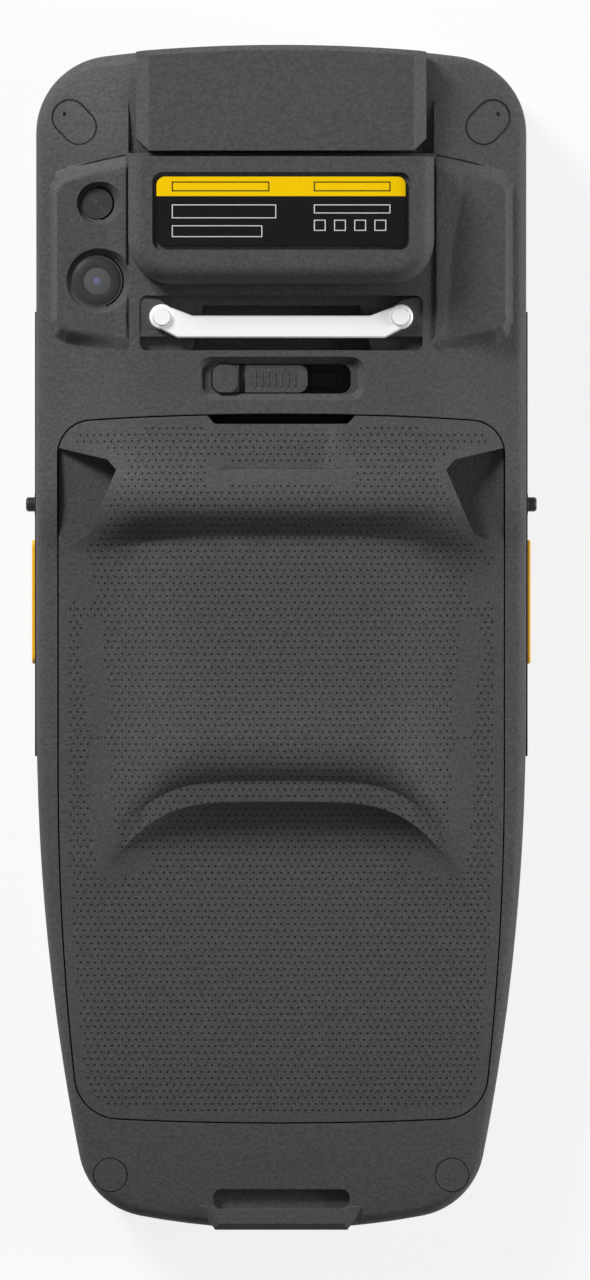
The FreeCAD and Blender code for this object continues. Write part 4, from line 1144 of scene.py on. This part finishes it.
@dataclass
class Studio:
    """The floor, the lamps and the camera straight above the back."""

    pixels_per_mm: float = 6.9
    frame_px: tuple[int, int] = (590, 1280)
    middle_px: tuple[float, float] = (281.25, 639.0)
    lens_mm: float = 250.0
    focus_m: float = 0.012
    aim_m: float = 0.01
    far_m: float = 20.0
    soft_strength: float = 0.05
    floor_glow: float = 0.85
    floor_colour: str = "#f4f4f4"
    floor_half_m: float = 3.0
    floor_drop_mm: float = 0.2

    def build(self) -> None:
        """Makes the studio."""
        bpy.context.scene.view_settings.view_transform = "Standard"
        self.world()
        self.floor()
        self.lamps()
        self.camera()

    def seen(self, tree: bpy.types.NodeTree) -> bpy.types.NodeSocket:
        """Tells the rays that look at the surround from those that light the terminal.

        Args:
            tree: The tree that takes the nodes.

        Returns:
            1 for the rays of the camera, of gloss and of glass, and 0 for the others.
        """
        rays = add(tree, "ShaderNodeLightPath").outputs
        looks = math_node(tree, "MAXIMUM", rays["Is Camera Ray"], rays["Is Transmission Ray"])
        return math_node(tree, "MAXIMUM", looks, rays["Is Glossy Ray"])

    def backdrop(self, name: str, colour: str) -> bpy.types.Material:
        """A pale material that the camera, gloss and glass see as nearly white.

        Args:
            name: The material's name.
            colour: Its sRGB colour.

        Returns:
            The material, which still keeps the terminal's shadow.
        """
        material = bpy.data.materials.new(name)
        material.use_nodes = True
        tree = material.node_tree
        tree.nodes.clear()
        plain = add(tree, "ShaderNodeBsdfDiffuse", {"Color": linear(colour)}).outputs[0]
        glow = add(tree, "ShaderNodeEmission", {"Color": WHITE, "Strength": 1.0}).outputs[0]
        share = math_node(tree, "MULTIPLY", self.seen(tree), self.floor_glow)
        mixed = add(tree, "ShaderNodeMixShader", {0: share, 1: plain, 2: glow}).outputs[0]
        add(tree, "ShaderNodeOutputMaterial", {"Surface": mixed})
        return material

    def floor(self) -> None:
        """A wide pale floor just under the terminal."""
        build = bmesh.new()
        bmesh.ops.create_grid(build, x_segments=1, y_segments=1, size=self.floor_half_m)
        mesh = mesh_from(build, "floor")
        floor = bpy.data.objects.new("floor", mesh)
        floor.location.z = -self.floor_drop_mm * MM
        bpy.context.scene.collection.objects.link(floor)
        mesh.materials.append(self.backdrop("pale_floor", self.floor_colour))

    def world(self) -> None:
        """A pale even surround, white where the camera sees it."""
        world = bpy.data.worlds.new("studio")
        world.use_nodes = True
        tree = world.node_tree
        tree.nodes.clear()
        soft, white = (
            add(tree, "ShaderNodeBackground", {"Color": WHITE, "Strength": strength}).outputs[0]
            for strength in (self.soft_strength, 1.0)
        )
        mixed = add(tree, "ShaderNodeMixShader", {0: self.seen(tree), 1: soft, 2: white}).outputs[0]
        add(tree, "ShaderNodeOutputWorld", {"Surface": mixed})
        bpy.context.scene.world = world

    def lamp(self, name: str, place: tuple[float, float, float], size: float, power: float) -> None:
        """Adds a square area lamp that points at the terminal's middle.

        Args:
            name: The lamp's name.
            place: Where it hangs, in metres.
            size: Its side, in metres.
            power: Its power in watts.
        """
        data = bpy.data.lights.new(name, "AREA")
        data.size = size
        data.energy = power
        lamp = bpy.data.objects.new(name, data)
        lamp.location = place
        aim = Vector((0, 0, self.aim_m)) - Vector(place)
        lamp.rotation_euler = aim.to_track_quat("-Z", "Y").to_euler()
        bpy.context.scene.collection.objects.link(lamp)

    def lamps(self) -> None:
        """A soft key from the scanner end on the left and a low rim from the right."""
        self.lamp("key_lamp", (-0.62, 0.74, 0.56), 0.3, 15.0)
        self.lamp("rim_lamp", (0.9, 0.05, 0.22), 0.35, 7.0)

    def camera(self) -> None:
        """Looks straight down with the scanner end at the top of the picture."""
        data = bpy.data.cameras.new("camera")
        data.lens = self.lens_mm
        half_angle = math.atan(data.sensor_width / 2 / data.lens)
        half_height = self.frame_px[1] / 2 / self.pixels_per_mm * MM
        distance = half_height / math.tan(half_angle)
        camera = bpy.data.objects.new("camera", data)
        x = (self.frame_px[0] / 2 - self.middle_px[0]) / self.pixels_per_mm * MM
        y = (self.middle_px[1] - self.frame_px[1] / 2) / self.pixels_per_mm * MM
        camera.location = (x, y, self.focus_m + distance)
        data.clip_end = self.far_m
        bpy.context.scene.collection.objects.link(camera)
        bpy.context.scene.camera = camera


def main() -> None:
    """Builds every sub-assembly in order."""
    logging.basicConfig(level=logging.INFO, format="%(name)s: %(message)s")
    for part in (Housing(), Decks(), CapGaps(), BatteryCover(), Keys(), StrapBar(), Latch(), Label(),
                 Optics(), Inside(), Studio()):
        part.build()
        LOG.info("finished %s", type(part).__name__)


if __name__ == "__main__":
    main()
